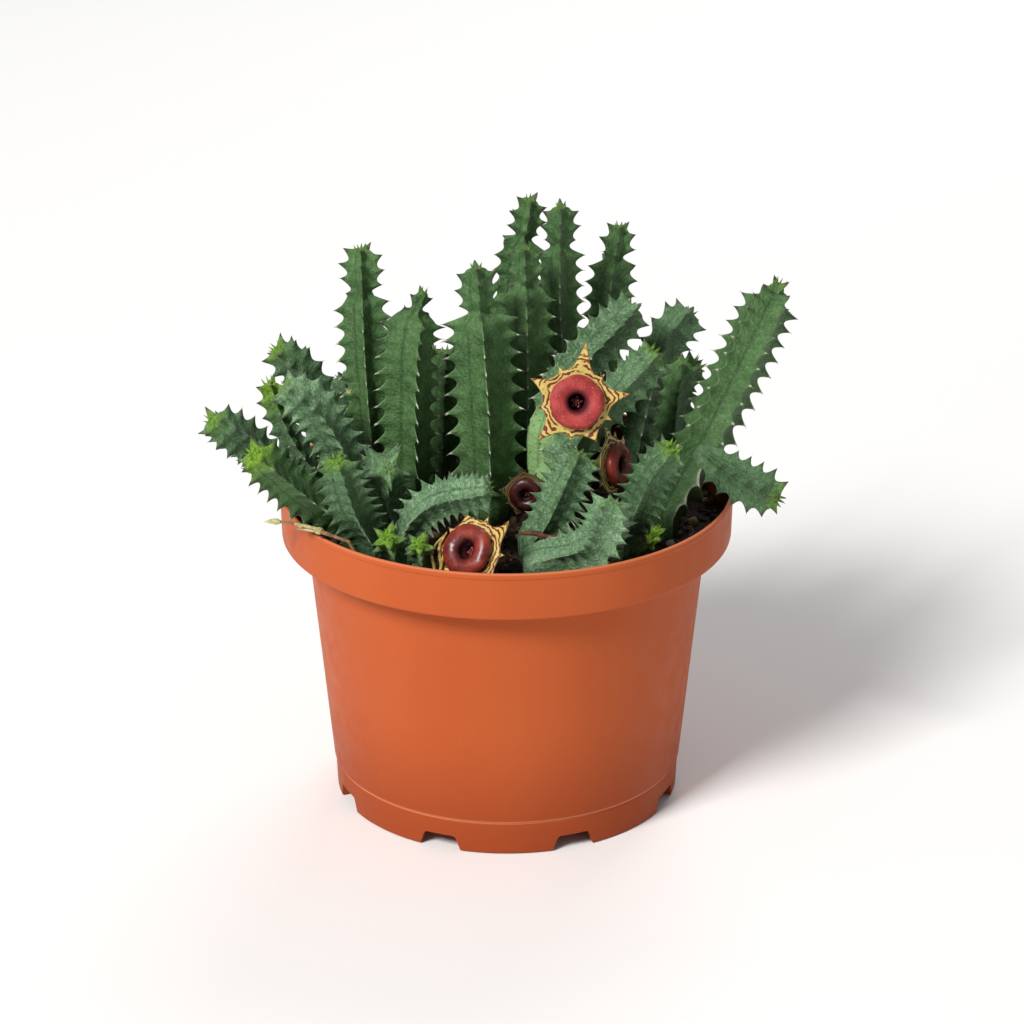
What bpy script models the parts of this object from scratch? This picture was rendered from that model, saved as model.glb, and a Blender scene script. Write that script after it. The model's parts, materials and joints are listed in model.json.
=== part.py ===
"""Potted lifesaver cactus: a clump of toothed succulent stems in a six inch grower pot.

Metres, +Z up. The origin is on the ground, on the pot's axis. The front of the plant faces -Y.
Sizes in the constants are millimetres, and MM turns them into metres.
"""

import math
from collections import namedtuple

import bmesh
import bpy
from mathutils import Matrix, Vector
from mathutils.bvhtree import BVHTree

MM = 0.001
GAP = 0.3
SMOOTH_ANGLE = 35.0
MERGE = 0.00005

# Pot
RIM_RADIUS = 76.2
POT_HEIGHT = 109.0
LIP_DROP = 0.8
COLLAR_FOOT_RADIUS = 75.4
COLLAR_FOOT = 92.5
COLLAR_BEVEL = 0.75
BODY_TOP_RADIUS = 67.2
BODY_FOOT_RADIUS = 59.2
BODY_FOOT = 11.4
BODY_STEP = 0.4
FOOT_RADIUS = 58.2
FOOT_WALL = 2.2
FOOT_DRAFT = 0.2
WALL = 1.4
FLOOR_UNDERSIDE = 6.4
FLOOR_THICKNESS = 1.8
POT_STEPS = 48
NOTCHES = 8
NOTCH_WIDTH = 14.0
NOTCH_TOP_WIDTH = 11.0
NOTCH_HEIGHT = 5.2
NOTCH_CUT = 8.0
DRAIN_RADIUS = 4.5
DRAIN_RING = 38.0
DRAINS = 4
DRAIN_SIDES = 12

# Soil
SOIL_EDGE = 95.5
SOIL_CROWN = 97.5
SOIL_STEPS = 24
SOIL_SIDE_GAP = 0.35
SOIL_LEDGE_GAP = 0.4

# Stems
PEG_RADIUS = 4.0
PEG_DEPTH = 5.0
PEG_COLLAR = 1.0
HOLE_RADIUS = 4.7
HOLE_SIDES = 8
HOLE_CUT = 20.0
ROOT_DEPTH = 40.0
SPINE_STEP = 0.5
SPINE_SAMPLES = 200
TIP_PITCH = 4.6
LOW_PITCH = 7.2
PITCH_RUN = 60.0
TOOTH_LENGTH = 4.4
TOOTH_SHARE = 0.34
TOOTH_RISE = 0.15
VALLEY_SHARE = 0.66
BARE_SHARE = 0.74
BARE_VALLEY = 0.92
FIRST_LEVEL = 7.0
APEX = 2.2
FOOT_SHARE = 0.56
FOOT_START = 3.0
FOOT_RUN = 16.0
DOME_SHARE = 0.42
DOME_RUN = 7.0
NECK_WIDTH = 2.6
NECK_DEPTH = 0.3
SHOULDER_RUN = 6.0
TO_VIEWER = (0.0, -1.0, 0.42)

# A stem's axis runs from its foot (x, y) on the soil through a bend to its tip. reach is from the axis to the
# teeth's points. turn rotates the ribs, in degrees. head is the length of the young head above a waist and
# head_share its width against the stem's. bare is the length of the round base with no teeth.
Stem = namedtuple("Stem", "foot bend tip reach ribs turn head head_share bare young",
                  defaults=(5, 0, 0, 1.0, 7, False))
STEMS = {
    "stem_tall_left": Stem((-44, 12), (-47, 10, 150), (-48, 12, 189), 10.0, head=16, head_share=0.80, bare=9),
    "stem_broad_left": Stem((-33, -4), (-32, -6, 158), (-27, -5, 180), 11.6, ribs=4, turn=20, head=8,
                            head_share=0.42),
    "stem_central_front": Stem((-6, -6), (-7, -4, 140), (-10, -1, 187), 13.3, ribs=4, turn=4, head=16,
                               head_share=0.58),
    "stem_central_rear": Stem((7, 14), (7, 17, 150), (6, 18, 187), 10.2, ribs=4, head=14, head_share=0.68),
    "stem_tallest": Stem((-5, 38), (2, 42, 159), (8, 40, 197), 9.4, turn=10, head=15, head_share=0.74),
    "stem_tall_centre": Stem((24, 32), (18, 34, 154), (18, 32, 197), 8.6, ribs=4, head=15, head_share=0.82),
    "stem_tall_right": Stem((30, 50), (34, 54, 147), (39, 56, 182), 9.2, head=12, head_share=0.76),
    "stem_right_rear": Stem((14, -1), (17, 2, 139), (43, 20, 166), 10.2, turn=15, bare=32),
    "stem_right_far": Stem((43, 28), (53, 36, 142), (63, 44, 155), 9.6),
    "stem_right_middle": Stem((11, -16), (20, -14.7, 126), (50, -4, 158), 9.2, turn=10, bare=20),
    "stem_right_shaded": Stem((56, 12), (57, 18, 128), (59, 18, 147), 7.4, ribs=4),
    "stem_right_leaning": Stem((50, -14), (69, 0, 132), (92, 30, 170), 11.4, turn=34, head=5,
                               head_share=0.58),
    "stem_front_right_upright": Stem((38, -34), (46, -42, 127), (54, -46, 141), 8.8),
    "stem_front_right_lying": Stem((4, -50), (28, -57.5, 111), (34.5, -59.5, 128), 10.4, bare=14),
    "stem_front_centre": Stem((7, -36), (15, -38, 114), (24.5, -37, 136), 9.9, bare=9),
    "stem_front_left_upright": Stem((-43, -36), (-51, -45, 121), (-55, -49, 138), 9.6),
    "stem_left_end_on": Stem((-37, -21), (-41, -28, 123), (-37.5, -41, 131), 9.8),
    "stem_front_left_lying": Stem((-33, -34), (-24, -42, 119), (-4, -49, 127), 8.8),
    "shoot_left": Stem((-36, -47), (-37, -52, 108), (-38.5, -58.5, 115), 7.6, young=True),
    "shoot_centre": Stem((-27, -53), (-27.5, -57, 108), (-28, -63, 114.5), 6.5, young=True),
    "shoot_right": Stem((43, -42), (46.5, -49, 108), (49, -52.5, 115), 3.6, young=True),
    "stem_left_rear": Stem((-54, 22), (-66, 22, 136), (-78, 18, 151), 8.8),
    "stem_left_middle": Stem((-46.3, -7), (-61, -15.7, 138.2), (-73, -19, 152), 10.4, turn=10),
    "stem_left_young": Stem((-58, 6), (-73, 1, 127), (-79, 0, 146), 6.6, young=True),
    "stem_far_left": Stem((-57.3, -12.6), (-81, -25.8, 130), (-96, -35, 146), 8.8, turn=20),
    "stem_low_left": Stem((-48, -24), (-69, -36, 122), (-82, -47, 139), 9.6),
    "stem_back_centre": Stem((-2, 56), (-4, 62, 130), (-5, 66, 150), 9.6, turn=10, head=12, head_share=0.7),
    "stem_back_left": Stem((-24, 42), (-26, 48, 122), (-26, 52, 139), 9.6, turn=30),
    "stem_back_left_low": Stem((-42, 38), (-50, 47, 115), (-58, 54, 128), 8.6),
    "stem_back_left_lying": Stem((-24, 52), (-31, 63, 115), (-40, 70, 121), 7.4, turn=20),
    "stem_back_right": Stem((40, 42), (55, 51, 121), (67, 57, 131), 8.0),
    "stem_back_right_low": Stem((16, 56), (19, 66, 114), (24, 70, 128), 8.2, turn=15),
    "stem_middle_filler": Stem((-22, 20), (-21, 22, 130), (-20, 23, 149), 8.8),
}

# The branch that hangs over the rim at the right grows from the flank of the leaning stem.
BRANCH_PARENT = "stem_right_leaning"
BRANCH = ((63, -11, 126), (76, -21, 119), (90, -28, 114))
BRANCH_REACH = 9.4
BRANCH_RIBS = 5
BRANCH_BARE = 2.0

# A bloom faces azimuth degrees to the right of -Y and elevation degrees up. roll turns its lobes, size scales
# it, curl is how far its lobes bend forwards, lobes is the reach of each, and bearer the stem it grows from.
Flower = namedtuple("Flower", "centre azimuth elevation roll size curl lobes bearer")
FLOWERS = {
    "main": Flower((22.6, -36, 152), 2, 20, 8, 1.0, -1.0, (17.7, 20.0, 16.8, 17.7, 14.5), "stem_right_middle"),
    "right": Flower((34.8, -23.2, 125), 66, 8, 20, 0.86, -3.0, (17, 16, 11.5, 11.5, 15), "stem_right_middle"),
    "low": Flower((-11.5, -61.5, 110.5), -36, 34, 45, 0.98, 5.0, (18, 13, 11.8, 12, 13), "stem_front_left_lying"),
    "hidden": Flower((6.5, -23.8, 115), -8, 8, 30, 0.62, 6.0, (15, 15, 15, 13, 13), "stem_right_middle"),
}
COLUMNS_PER_LOBE = 4
NOTCH_REACH = 10.6
POINT_REACH = 13.0
POINT_CURL = 0.4
PETAL_THICKNESS = 0.9
PETAL_TAPER = 0.05
TUBE_DEPTH = 7.0
TUBE_NECK = 5.8
TUBE_NECK_RADIUS = 2.6
TUBE_WAIST = 3.15
TUBE_WAIST_RADIUS = 6.0
TUBE_MOUTH = 1.3
TUBE_MOUTH_RADIUS = 9.0
STALK_RADIUS = 1.2
STALK_SEAT_GAP = 0.55
THROAT_RADIUS = 3.0
THROAT_FLOOR_RADIUS = 2.6
THROAT_DEPTH = 3.4
RING_SEAT_RADIUS = 9.4
RING_RADIUS = 6.0
RING_TUBE = 3.1
RING_FLATNESS = 0.72
RING_SEGMENTS = 16
RING_SIDES = 6
CORONA_RADIUS = 2.0
CORONA_TOP_RADIUS = 1.0
CORONA_HEIGHT = 2.6
CORONA_SIDES = 10
CORONA_GAP = 0.45

# A withered bloom on its stalk lies over the rim at the left: x, y, z and radius along it
DRIED = {
    "dried_flower": (
        (-44, -53, 96.2, 0.8), (-48, -53, 105, 0.8), (-51, -53, 110.8, 0.8), (-56, -52, 112.2, 0.9),
        (-61, -48, 112.6, 1.8), (-65, -44, 112.4, 2.2), (-69, -40, 111.8, 1.5), (-72, -37, 111.4, 0.7),
    ),
}

COLOURS = {
    "pot": ((0.52, 0.135, 0.045), 0.42),
    "soil": ((0.035, 0.022, 0.014), 0.95),
    "stem": ((0.055, 0.13, 0.05), 0.5),
    "young_stem": ((0.19, 0.33, 0.05), 0.5),
    "corolla": ((0.72, 0.55, 0.17), 0.6),
    "annulus": ((0.42, 0.06, 0.06), 0.35),
    "corona": ((0.06, 0.01, 0.012), 0.4),
    "dried_bloom": ((0.5, 0.34, 0.12), 0.8),
}


def clear_scene():
    """Remove every object, so that the script can be run again."""
    for obj in list(bpy.data.objects):
        bpy.data.objects.remove(obj, do_unlink=True)


def new_collection(name):
    """Make an empty collection in the scene."""
    collection = bpy.data.collections.new(name)
    bpy.context.scene.collection.children.link(collection)
    return collection


def make_material(name):
    """A Principled material in one of the part's colours."""
    colour, roughness = COLOURS[name]
    material = bpy.data.materials.new(name)
    material.use_nodes = True
    shader = material.node_tree.nodes["Principled BSDF"]
    shader.inputs["Base Color"].default_value = (*colour, 1.0)
    shader.inputs["Roughness"].default_value = roughness
    return material


def add_object(name, bm, collection, material=None):
    """Turn a bmesh in millimetres into an object in metres, with its faces pointing out."""
    bmesh.ops.triangulate(bm, faces=bm.faces)
    bmesh.ops.recalc_face_normals(bm, faces=bm.faces)
    if bm.calc_volume(signed=True) < 0:
        bmesh.ops.reverse_faces(bm, faces=bm.faces)
    bm.transform(Matrix.Scale(MM, 4))
    mesh = bpy.data.meshes.new(name)
    bm.to_mesh(mesh)
    bm.free()
    obj = bpy.data.objects.new(name, mesh)
    collection.objects.link(obj)
    if material:
        mesh.materials.append(material)
    mesh.shade_smooth()
    mesh.set_sharp_from_angle(angle=math.radians(SMOOTH_ANGLE))
    return obj


def turned(name, profile, steps, collection, material):
    """A turned solid: the profile of radii and heights, swept round Z."""
    bm = bmesh.new()
    verts = [bm.verts.new((r * MM, 0.0, z * MM)) for r, z in profile]
    for a, b in zip(verts, verts[1:]):
        bm.edges.new((a, b))
    mesh = bpy.data.meshes.new(name)
    bm.to_mesh(mesh)
    bm.free()
    obj = bpy.data.objects.new(name, mesh)
    collection.objects.link(obj)
    mesh.materials.append(material)
    screw = obj.modifiers.new("Turn", "SCREW")
    screw.axis = "Z"
    screw.steps = steps
    screw.render_steps = steps
    screw.use_merge_vertices = True
    screw.merge_threshold = MERGE
    return obj


def as_cutter(obj):
    """Mark an object as a cutter or a guide, which isn't part of the model."""
    obj.hide_render = True
    obj.display_type = "WIRE"
    return obj


def round_cutter(name, cutters, centre, radius, sides, length):
    """An upright round cutter with its middle at the centre."""
    bm = bmesh.new()
    bmesh.ops.create_cone(bm, cap_ends=True, segments=sides, radius1=radius, radius2=radius, depth=length)
    bm.transform(Matrix.Translation(centre))
    return as_cutter(add_object(name, bm, cutters))


def cut(obj, cutters, name):
    """Take every object of a collection of cutters out of the object."""
    boolean = obj.modifiers.new(name, "BOOLEAN")
    boolean.operation = "DIFFERENCE"
    boolean.operand_type = "COLLECTION"
    boolean.collection = cutters
    boolean.solver = "EXACT"


def join(obj, other):
    """Fuse another solid into the object with a Boolean union."""
    boolean = obj.modifiers.new("Join", "BOOLEAN")
    boolean.operation = "UNION"
    boolean.object = other
    boolean.solver = "EXACT"


def wall_radius(z):
    """Outer radius of the pot's tapering body at a height."""
    share = (z - BODY_FOOT) / (COLLAR_FOOT - BODY_FOOT)
    return BODY_FOOT_RADIUS + share * (BODY_TOP_RADIUS - BODY_FOOT_RADIUS)


def pot_ledge():
    """Radius and height of the inner edge of the ledge under the collar."""
    return wall_radius(COLLAR_FOOT) - WALL, COLLAR_FOOT + WALL * 0.4


def notch_cutter(index, cutters):
    """A block with flaring sides through the foot ring."""
    bm = bmesh.new()
    bmesh.ops.create_cube(bm, size=1.0)
    for vert in bm.verts:
        above = vert.co.z > 0
        width = NOTCH_TOP_WIDTH if above else 2 * NOTCH_WIDTH - NOTCH_TOP_WIDTH
        height = NOTCH_HEIGHT if above else -NOTCH_HEIGHT
        vert.co = Vector((FOOT_RADIUS - 1.0 + vert.co.x * NOTCH_CUT, vert.co.y * width, height))
    bm.transform(Matrix.Rotation(2 * math.pi * (index + 0.5) / NOTCHES, 4, "Z"))
    return as_cutter(add_object(f"notch_{index}", bm, cutters))


def build_pot(collection, cutters, material):
    """The pot: floor, wall, collar and rim as one turned wall, with foot notches and drain holes."""
    floor_top = FLOOR_UNDERSIDE + FLOOR_THICKNESS
    profile = [
        (0.0, floor_top),
        (wall_radius(floor_top) - WALL, floor_top),
        pot_ledge(),
        (COLLAR_FOOT_RADIUS - WALL, COLLAR_FOOT + WALL),
        (RIM_RADIUS - WALL, POT_HEIGHT - LIP_DROP * 0.6),
        (RIM_RADIUS - WALL * 0.5, POT_HEIGHT),
        (RIM_RADIUS, POT_HEIGHT - LIP_DROP),
        (COLLAR_FOOT_RADIUS, COLLAR_FOOT + COLLAR_BEVEL),
        (COLLAR_FOOT_RADIUS - COLLAR_BEVEL, COLLAR_FOOT),
        (BODY_TOP_RADIUS, COLLAR_FOOT),
        (BODY_FOOT_RADIUS, BODY_FOOT + BODY_STEP),
        (BODY_FOOT_RADIUS - BODY_STEP, BODY_FOOT),
        (FOOT_RADIUS, 0.0),
        (FOOT_RADIUS - FOOT_WALL, 0.0),
        (FOOT_RADIUS - FOOT_WALL + FOOT_DRAFT, FLOOR_UNDERSIDE),
        (0.0, FLOOR_UNDERSIDE),
    ]
    pot = turned("pot", profile, POT_STEPS, collection, material)
    for index in range(NOTCHES):
        notch_cutter(index, cutters)
    middle = FLOOR_UNDERSIDE + FLOOR_THICKNESS / 2
    for index in range(DRAINS + 1):
        angle = 2 * math.pi * index / DRAINS
        ring = DRAIN_RING if index < DRAINS else 0.0
        centre = Vector((ring * math.cos(angle), ring * math.sin(angle), middle))
        round_cutter(f"drain_{index}", cutters, centre, DRAIN_RADIUS, DRAIN_SIDES, 3 * FLOOR_THICKNESS)
    cut(pot, cutters, "Notches and drains")


def soil_top(x, y):
    """Height of the soil's gently domed top."""
    share = math.hypot(x, y) / (COLLAR_FOOT_RADIUS - WALL)
    return SOIL_CROWN + (SOIL_EDGE - SOIL_CROWN) * share * share


def build_soil(collection, cutters, material):
    """The soil: fills the pot, domed on top, with a plain hole for each stem's foot."""
    floor = FLOOR_UNDERSIDE + FLOOR_THICKNESS + GAP
    edge = COLLAR_FOOT_RADIUS - WALL - SOIL_SIDE_GAP
    ledge_radius, ledge_height = pot_ledge()
    profile = [
        (0.0, SOIL_CROWN),
        (edge * 0.5, soil_top(edge * 0.5, 0)),
        (edge, SOIL_EDGE),
        (edge, COLLAR_FOOT + WALL + SOIL_LEDGE_GAP),
        (ledge_radius - SOIL_SIDE_GAP, ledge_height + SOIL_LEDGE_GAP),
        (wall_radius(floor) - WALL - SOIL_SIDE_GAP, floor),
        (0.0, floor),
    ]
    soil = turned("soil", profile, SOIL_STEPS, collection, material)
    for name, stem in STEMS.items():
        x, y = stem.foot
        bottom = soil_top(x, y) - PEG_DEPTH - GAP
        centre = Vector((x, y, bottom + HOLE_CUT / 2))
        round_cutter(f"hole_{name}", cutters, centre, HOLE_RADIUS, HOLE_SIDES, HOLE_CUT)
    cut(soil, cutters, "Foot holes")


def spline_point(points, before_first, t):
    """A point at t (0 to 1) on a Catmull-Rom curve through the points, which arrives from before_first."""
    count = len(points) - 1
    index = min(int(t * count), count - 1)
    u = t * count - index
    before = points[index - 1] if index else before_first
    after = points[index + 2] if index + 2 <= count else points[-1] * 2 - points[-2]
    a, b = points[index], points[index + 1]
    return 0.5 * (2 * a + (b - before) * u + (2 * before - 5 * a + 4 * b - after) * u * u
                  + (3 * a - before - 3 * b + after) * u * u * u)


def even_spine(points, before_first):
    """Points a small, even step apart along the curve, the direction at each, and the curve's length."""
    fine = [spline_point(points, before_first, i / SPINE_SAMPLES) for i in range(SPINE_SAMPLES + 1)]
    lengths = [0.0]
    for a, b in zip(fine, fine[1:]):
        lengths.append(lengths[-1] + (b - a).length)
    total = lengths[-1]
    count = max(int(total / SPINE_STEP), 2)
    spine = []
    index = 0
    for i in range(count + 1):
        at = total * i / count
        while index < SPINE_SAMPLES - 1 and lengths[index + 1] < at:
            index += 1
        span = lengths[index + 1] - lengths[index]
        spine.append(fine[index].lerp(fine[index + 1], (at - lengths[index]) / span))
    tangents = []
    for i in range(count + 1):
        ahead, behind = spine[min(i + 1, count)], spine[max(i - 1, 0)]
        tangents.append((ahead - behind).normalized())
    return spine, tangents, total


def across(vector, tangent):
    """The direction of a vector with its part along the tangent taken out."""
    return (vector - tangent * vector.dot(tangent)).normalized()


def carried_sides(tangents):
    """A sideways direction at each point that turns with the curve, and faces the viewer at its middle."""
    middle = len(tangents) // 2
    sides = [None] * len(tangents)
    sides[middle] = across(Vector(TO_VIEWER), tangents[middle])
    for i in range(middle + 1, len(tangents)):
        sides[i] = across(sides[i - 1], tangents[i])
    for i in range(middle - 1, -1, -1):
        sides[i] = across(sides[i + 1], tangents[i])
    return sides


class Axis:
    """The axis of a stem: places a point by its distance along, its angle round and its radius."""

    def __init__(self, points, before_first):
        self.spine, self.tangents, self.total = even_spine(points, before_first)
        self.sides = carried_sides(self.tangents)
        self.count = len(self.spine) - 1

    def place(self, along, angle, radius):
        position = min(max(along / self.total, 0.0), 1.0) * self.count
        i = min(int(position), self.count - 1)
        share = position - i
        centre = self.spine[i].lerp(self.spine[i + 1], share)
        side = self.sides[i].lerp(self.sides[i + 1], share).normalized()
        tangent = self.tangents[i].lerp(self.tangents[i + 1], share).normalized()
        other = tangent.cross(side)
        return centre + (side * math.cos(angle) + other * math.sin(angle)) * radius


def ramp(value):
    """The value kept between 0 and 1."""
    return min(1.0, max(0.0, value))


def reach_share(stem, along, total):
    """How far the teeth reach at a distance along the stem, as a share of its full reach."""
    foot = FOOT_SHARE + (1 - FOOT_SHARE) * ramp((along - FOOT_START) / FOOT_RUN) ** 0.7
    left = total - along
    dome = min(1.0, DOME_SHARE + (1 - DOME_SHARE) * math.sqrt(max(left, 0.0) / DOME_RUN))
    if not stem.head:
        return foot * dome
    neck = 1.0 - NECK_DEPTH * math.exp(-((left - stem.head) / NECK_WIDTH) ** 2)
    if left < stem.head:
        return foot * stem.head_share * dome * neck
    rise = ramp((left - stem.head) / SHOULDER_RUN)
    shoulder = rise * rise * (3 - 2 * rise)
    return foot * (stem.head_share + (1 - stem.head_share) * shoulder) * neck


def body_radius(tooth_reach):
    """Radius of a rib between two teeth that reach this far."""
    return tooth_reach - min(TOOTH_LENGTH, TOOTH_SHARE * tooth_reach)


def tooth_levels(first, last):
    """Distances of the rows of teeth, close together at the tip and wider apart below."""
    gaps = []
    covered = 0.0
    while covered < last - first:
        gaps.append(TIP_PITCH + (LOW_PITCH - TIP_PITCH) * min(1.0, covered / PITCH_RUN))
        covered += gaps[-1]
    if covered - (last - first) > gaps[-1] / 2 and len(gaps) > 2:
        covered -= gaps.pop()
    stretch = (last - first) / covered
    levels = [last]
    for gap in gaps:
        levels.append(levels[-1] - gap * stretch)
    return levels[::-1]


def valley_column(bm, axis, stem, levels, angle):
    """The bottom of the furrow between two ribs, a point for each row."""
    column = []
    for along in levels:
        tooth_reach = stem.reach * reach_share(stem, along, axis.total)
        smooth = ramp((stem.bare + 6 - along) / 6)
        furrow = body_radius(tooth_reach) * VALLEY_SHARE
        bare = tooth_reach * BARE_SHARE * BARE_VALLEY
        column.append(bm.verts.new(axis.place(along, angle, furrow + (bare - furrow) * smooth)))
    return column


def rib_column(bm, axis, stem, levels, angle, tooth_first):
    """The edge of a rib, with a tooth or the gap between two teeth on each row and between rows."""
    on_rows, between = [], []
    cells = len(levels) - 1
    for i, row in enumerate(levels):
        pitch = levels[min(i + 1, cells)] - levels[min(i, cells - 1)]
        places = [(row, on_rows, tooth_first)]
        if i < cells:
            places.append((row + pitch / 2, between, not tooth_first))
        for along, store, is_tooth in places:
            tooth_reach = stem.reach * reach_share(stem, along, axis.total)
            if is_tooth and along > stem.bare + 1:
                store.append(bm.verts.new(axis.place(along + TOOTH_RISE * pitch, angle, tooth_reach)))
                continue
            smooth = ramp((stem.bare + 4 - along) / 6)
            body = body_radius(tooth_reach)
            radius = body + (tooth_reach * BARE_SHARE - body) * smooth
            store.append(bm.verts.new(axis.place(along, angle, radius)))
    return on_rows, between


def skin_between(bm, rib, valley):
    """Faces from a rib's edge to the furrow beside it."""
    on_rows, between = rib
    for i, middle in enumerate(between):
        bm.faces.new((on_rows[i], valley[i], middle))
        bm.faces.new((middle, valley[i], valley[i + 1]))
        bm.faces.new((middle, valley[i + 1], on_rows[i + 1]))


def add_peg(bm, ring, foot):
    """A round peg under the stem's first ring, which stands in the soil. Returns its bottom ring."""
    start, beside = (math.atan2(vert.co.y - foot.y, vert.co.x - foot.x) for vert in ring[:2])
    sense = 1 if math.sin(beside - start) > 0 else -1
    for height in (PEG_COLLAR, -PEG_DEPTH):
        lower = []
        for column in range(len(ring)):
            angle = start + sense * 2 * math.pi * column / len(ring)
            offset = Vector((PEG_RADIUS * math.cos(angle), PEG_RADIUS * math.sin(angle), height))
            lower.append(bm.verts.new(foot + offset))
        bridge(bm, ring, lower)
        ring = lower
    return ring


def bridge(bm, upper, lower):
    """Faces between two rings of the same count."""
    for column in range(len(upper)):
        after = (column + 1) % len(upper)
        bm.faces.new((upper[column], upper[after], lower[after], lower[column]))


def loft_stem(stem, points, foot):
    """A ribbed, toothed stem along the points, on a peg where it has a foot."""
    before_first = points[0] - Vector((0, 0, ROOT_DEPTH)) if foot else points[0] * 2 - points[1]
    axis = Axis(points, before_first)
    levels = tooth_levels(min(FIRST_LEVEL, stem.bare), axis.total - APEX)
    bm = bmesh.new()
    ribs, valleys = [], []
    for index in range(stem.ribs):
        angle = math.radians(stem.turn) + 2 * math.pi * index / stem.ribs
        ribs.append(rib_column(bm, axis, stem, levels, angle, index % 2 == 0))
        valleys.append(valley_column(bm, axis, stem, levels, angle + math.pi / stem.ribs))
    first, last = [], []
    for index, (rib, valley) in enumerate(zip(ribs, valleys)):
        skin_between(bm, rib, valley)
        skin_between(bm, rib, valleys[index - 1])
        first += [rib[0][0], valley[0]]
        last += [rib[0][-1], valley[-1]]
    tip = bm.verts.new(axis.spine[-1])
    for column in range(len(last)):
        bm.faces.new((last[column], last[(column + 1) % len(last)], tip))
    if foot:
        first = add_peg(bm, first, foot)
    bm.faces.new(first)
    return bm


def build_stem(name, collection, material):
    """One stem on its foot."""
    stem = STEMS[name]
    foot = Vector((*stem.foot, soil_top(*stem.foot)))
    bm = loft_stem(stem, [foot, Vector(stem.bend), Vector(stem.tip)], foot)
    return add_object(name, bm, collection, material)


def build_branch(parent, guides, material):
    """The hanging branch, fused into the leaning stem."""
    branch = Stem(None, None, None, BRANCH_REACH, ribs=BRANCH_RIBS, bare=BRANCH_BARE)
    bm = loft_stem(branch, [Vector(point) for point in BRANCH], None)
    join(parent, as_cutter(add_object("branch", bm, guides, material)))


def build_dried(name, collection, material):
    """A withered bloom on its stalk: a tube along a curve, thick where the bloom is."""
    curve = bpy.data.curves.new(name, "CURVE")
    curve.dimensions = "3D"
    curve.bevel_depth = MM
    curve.bevel_resolution = 2
    curve.use_fill_caps = True
    spline = curve.splines.new("POLY")
    stations = DRIED[name]
    spline.points.add(len(stations) - 1)
    for point, (x, y, z, radius) in zip(spline.points, stations):
        point.co = (x * MM, y * MM, z * MM, 1.0)
        point.radius = radius
    curve.materials.append(material)
    collection.objects.link(bpy.data.objects.new(name, curve))


def flower_frame(flower):
    """A frame at the bloom's centre, in its own size, whose Z axis points the way it faces."""
    azimuth, elevation = math.radians(flower.azimuth), math.radians(flower.elevation)
    flat = math.cos(elevation)
    front = Vector((math.sin(azimuth) * flat, -math.cos(azimuth) * flat, math.sin(elevation)))
    facing = front.to_track_quat("Z", "Y").to_matrix().to_4x4()
    roll = Matrix.Rotation(math.radians(flower.roll), 4, "Z")
    return Matrix.Translation(flower.centre) @ facing @ roll @ Matrix.Scale(flower.size, 4)


def star_ring(bm, frame, columns, radii, heights):
    """A ring of points round the bloom's axis, whose radii and heights repeat round it."""
    verts = []
    for column in range(columns):
        angle = 2 * math.pi * column / columns
        radius = radii[column % len(radii)]
        point = Vector((radius * math.cos(angle), radius * math.sin(angle), heights[column % len(heights)]))
        verts.append(bm.verts.new(frame @ point))
    return verts


def stalk_ring(bm, frame, columns, centre, direction):
    """A ring of points round the stalk, in step with the rings round the bloom's axis."""
    turn = frame.to_3x3()
    side = across(turn @ Vector((1, 0, 0)), direction)
    other = direction.cross(side)
    verts = []
    for column in range(columns):
        angle = 2 * math.pi * column / columns
        offset = (side * math.cos(angle) + other * math.sin(angle)) * STALK_RADIUS
        verts.append(bm.verts.new(centre + offset))
    return verts


def build_corolla(name, flower, frame, bearer, collection, material):
    """The yellow star with its tube and stalk: one loft from the stem it grows from to its throat."""
    columns = COLUMNS_PER_LOBE * len(flower.lobes)
    outline = []
    for lobe in flower.lobes:
        outline += [lobe, NOTCH_REACH, POINT_REACH, NOTCH_REACH]
    face = (flower.curl, 0.0, flower.curl * POINT_CURL, 0.0)
    back_face = [height - PETAL_THICKNESS for height in face]
    back = frame @ Vector((0, 0, -TUBE_DEPTH))
    target = bearer.find_nearest(back * MM)[0] / MM
    direction = (back - target).normalized()
    seat = target + direction * STALK_SEAT_GAP
    bm = bmesh.new()
    rings = [stalk_ring(bm, frame, columns, point, direction) for point in (seat, seat.lerp(back, 0.5))]
    turned_rings = (
        ((TUBE_NECK_RADIUS,), (-TUBE_NECK,)),
        ((TUBE_WAIST_RADIUS,), (-TUBE_WAIST,)),
        ((TUBE_MOUTH_RADIUS,), (-TUBE_MOUTH,)),
        (outline, back_face),
        ([radius + PETAL_TAPER for radius in outline], face),
        ((RING_SEAT_RADIUS,), (0.0,)),
        ((THROAT_RADIUS,), (0.0,)),
        ((THROAT_FLOOR_RADIUS,), (-THROAT_DEPTH,)),
    )
    for radii, heights in turned_rings:
        rings.append(star_ring(bm, frame, columns, radii, heights))
    for lower, upper in zip(rings, rings[1:]):
        bridge(bm, lower, upper)
    bm.faces.new(rings[0])
    bm.faces.new(rings[-1])
    add_object(f"flower_{name}_corolla", bm, collection, material)


def build_annulus(name, frame, collection, material):
    """The red ring that lies on the star."""
    bpy.ops.mesh.primitive_torus_add(major_segments=RING_SEGMENTS, minor_segments=RING_SIDES,
                                     major_radius=RING_RADIUS, minor_radius=RING_TUBE)
    torus = bpy.context.object
    bm = bmesh.new()
    bm.from_mesh(torus.data)
    bpy.data.objects.remove(torus, do_unlink=True)
    lift = Matrix.Translation((0, 0, RING_TUBE * RING_FLATNESS + GAP))
    bm.transform(frame @ lift @ Matrix.Diagonal((1.0, 1.0, RING_FLATNESS, 1.0)))
    add_object(f"flower_{name}_annulus", bm, collection, material)


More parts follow.
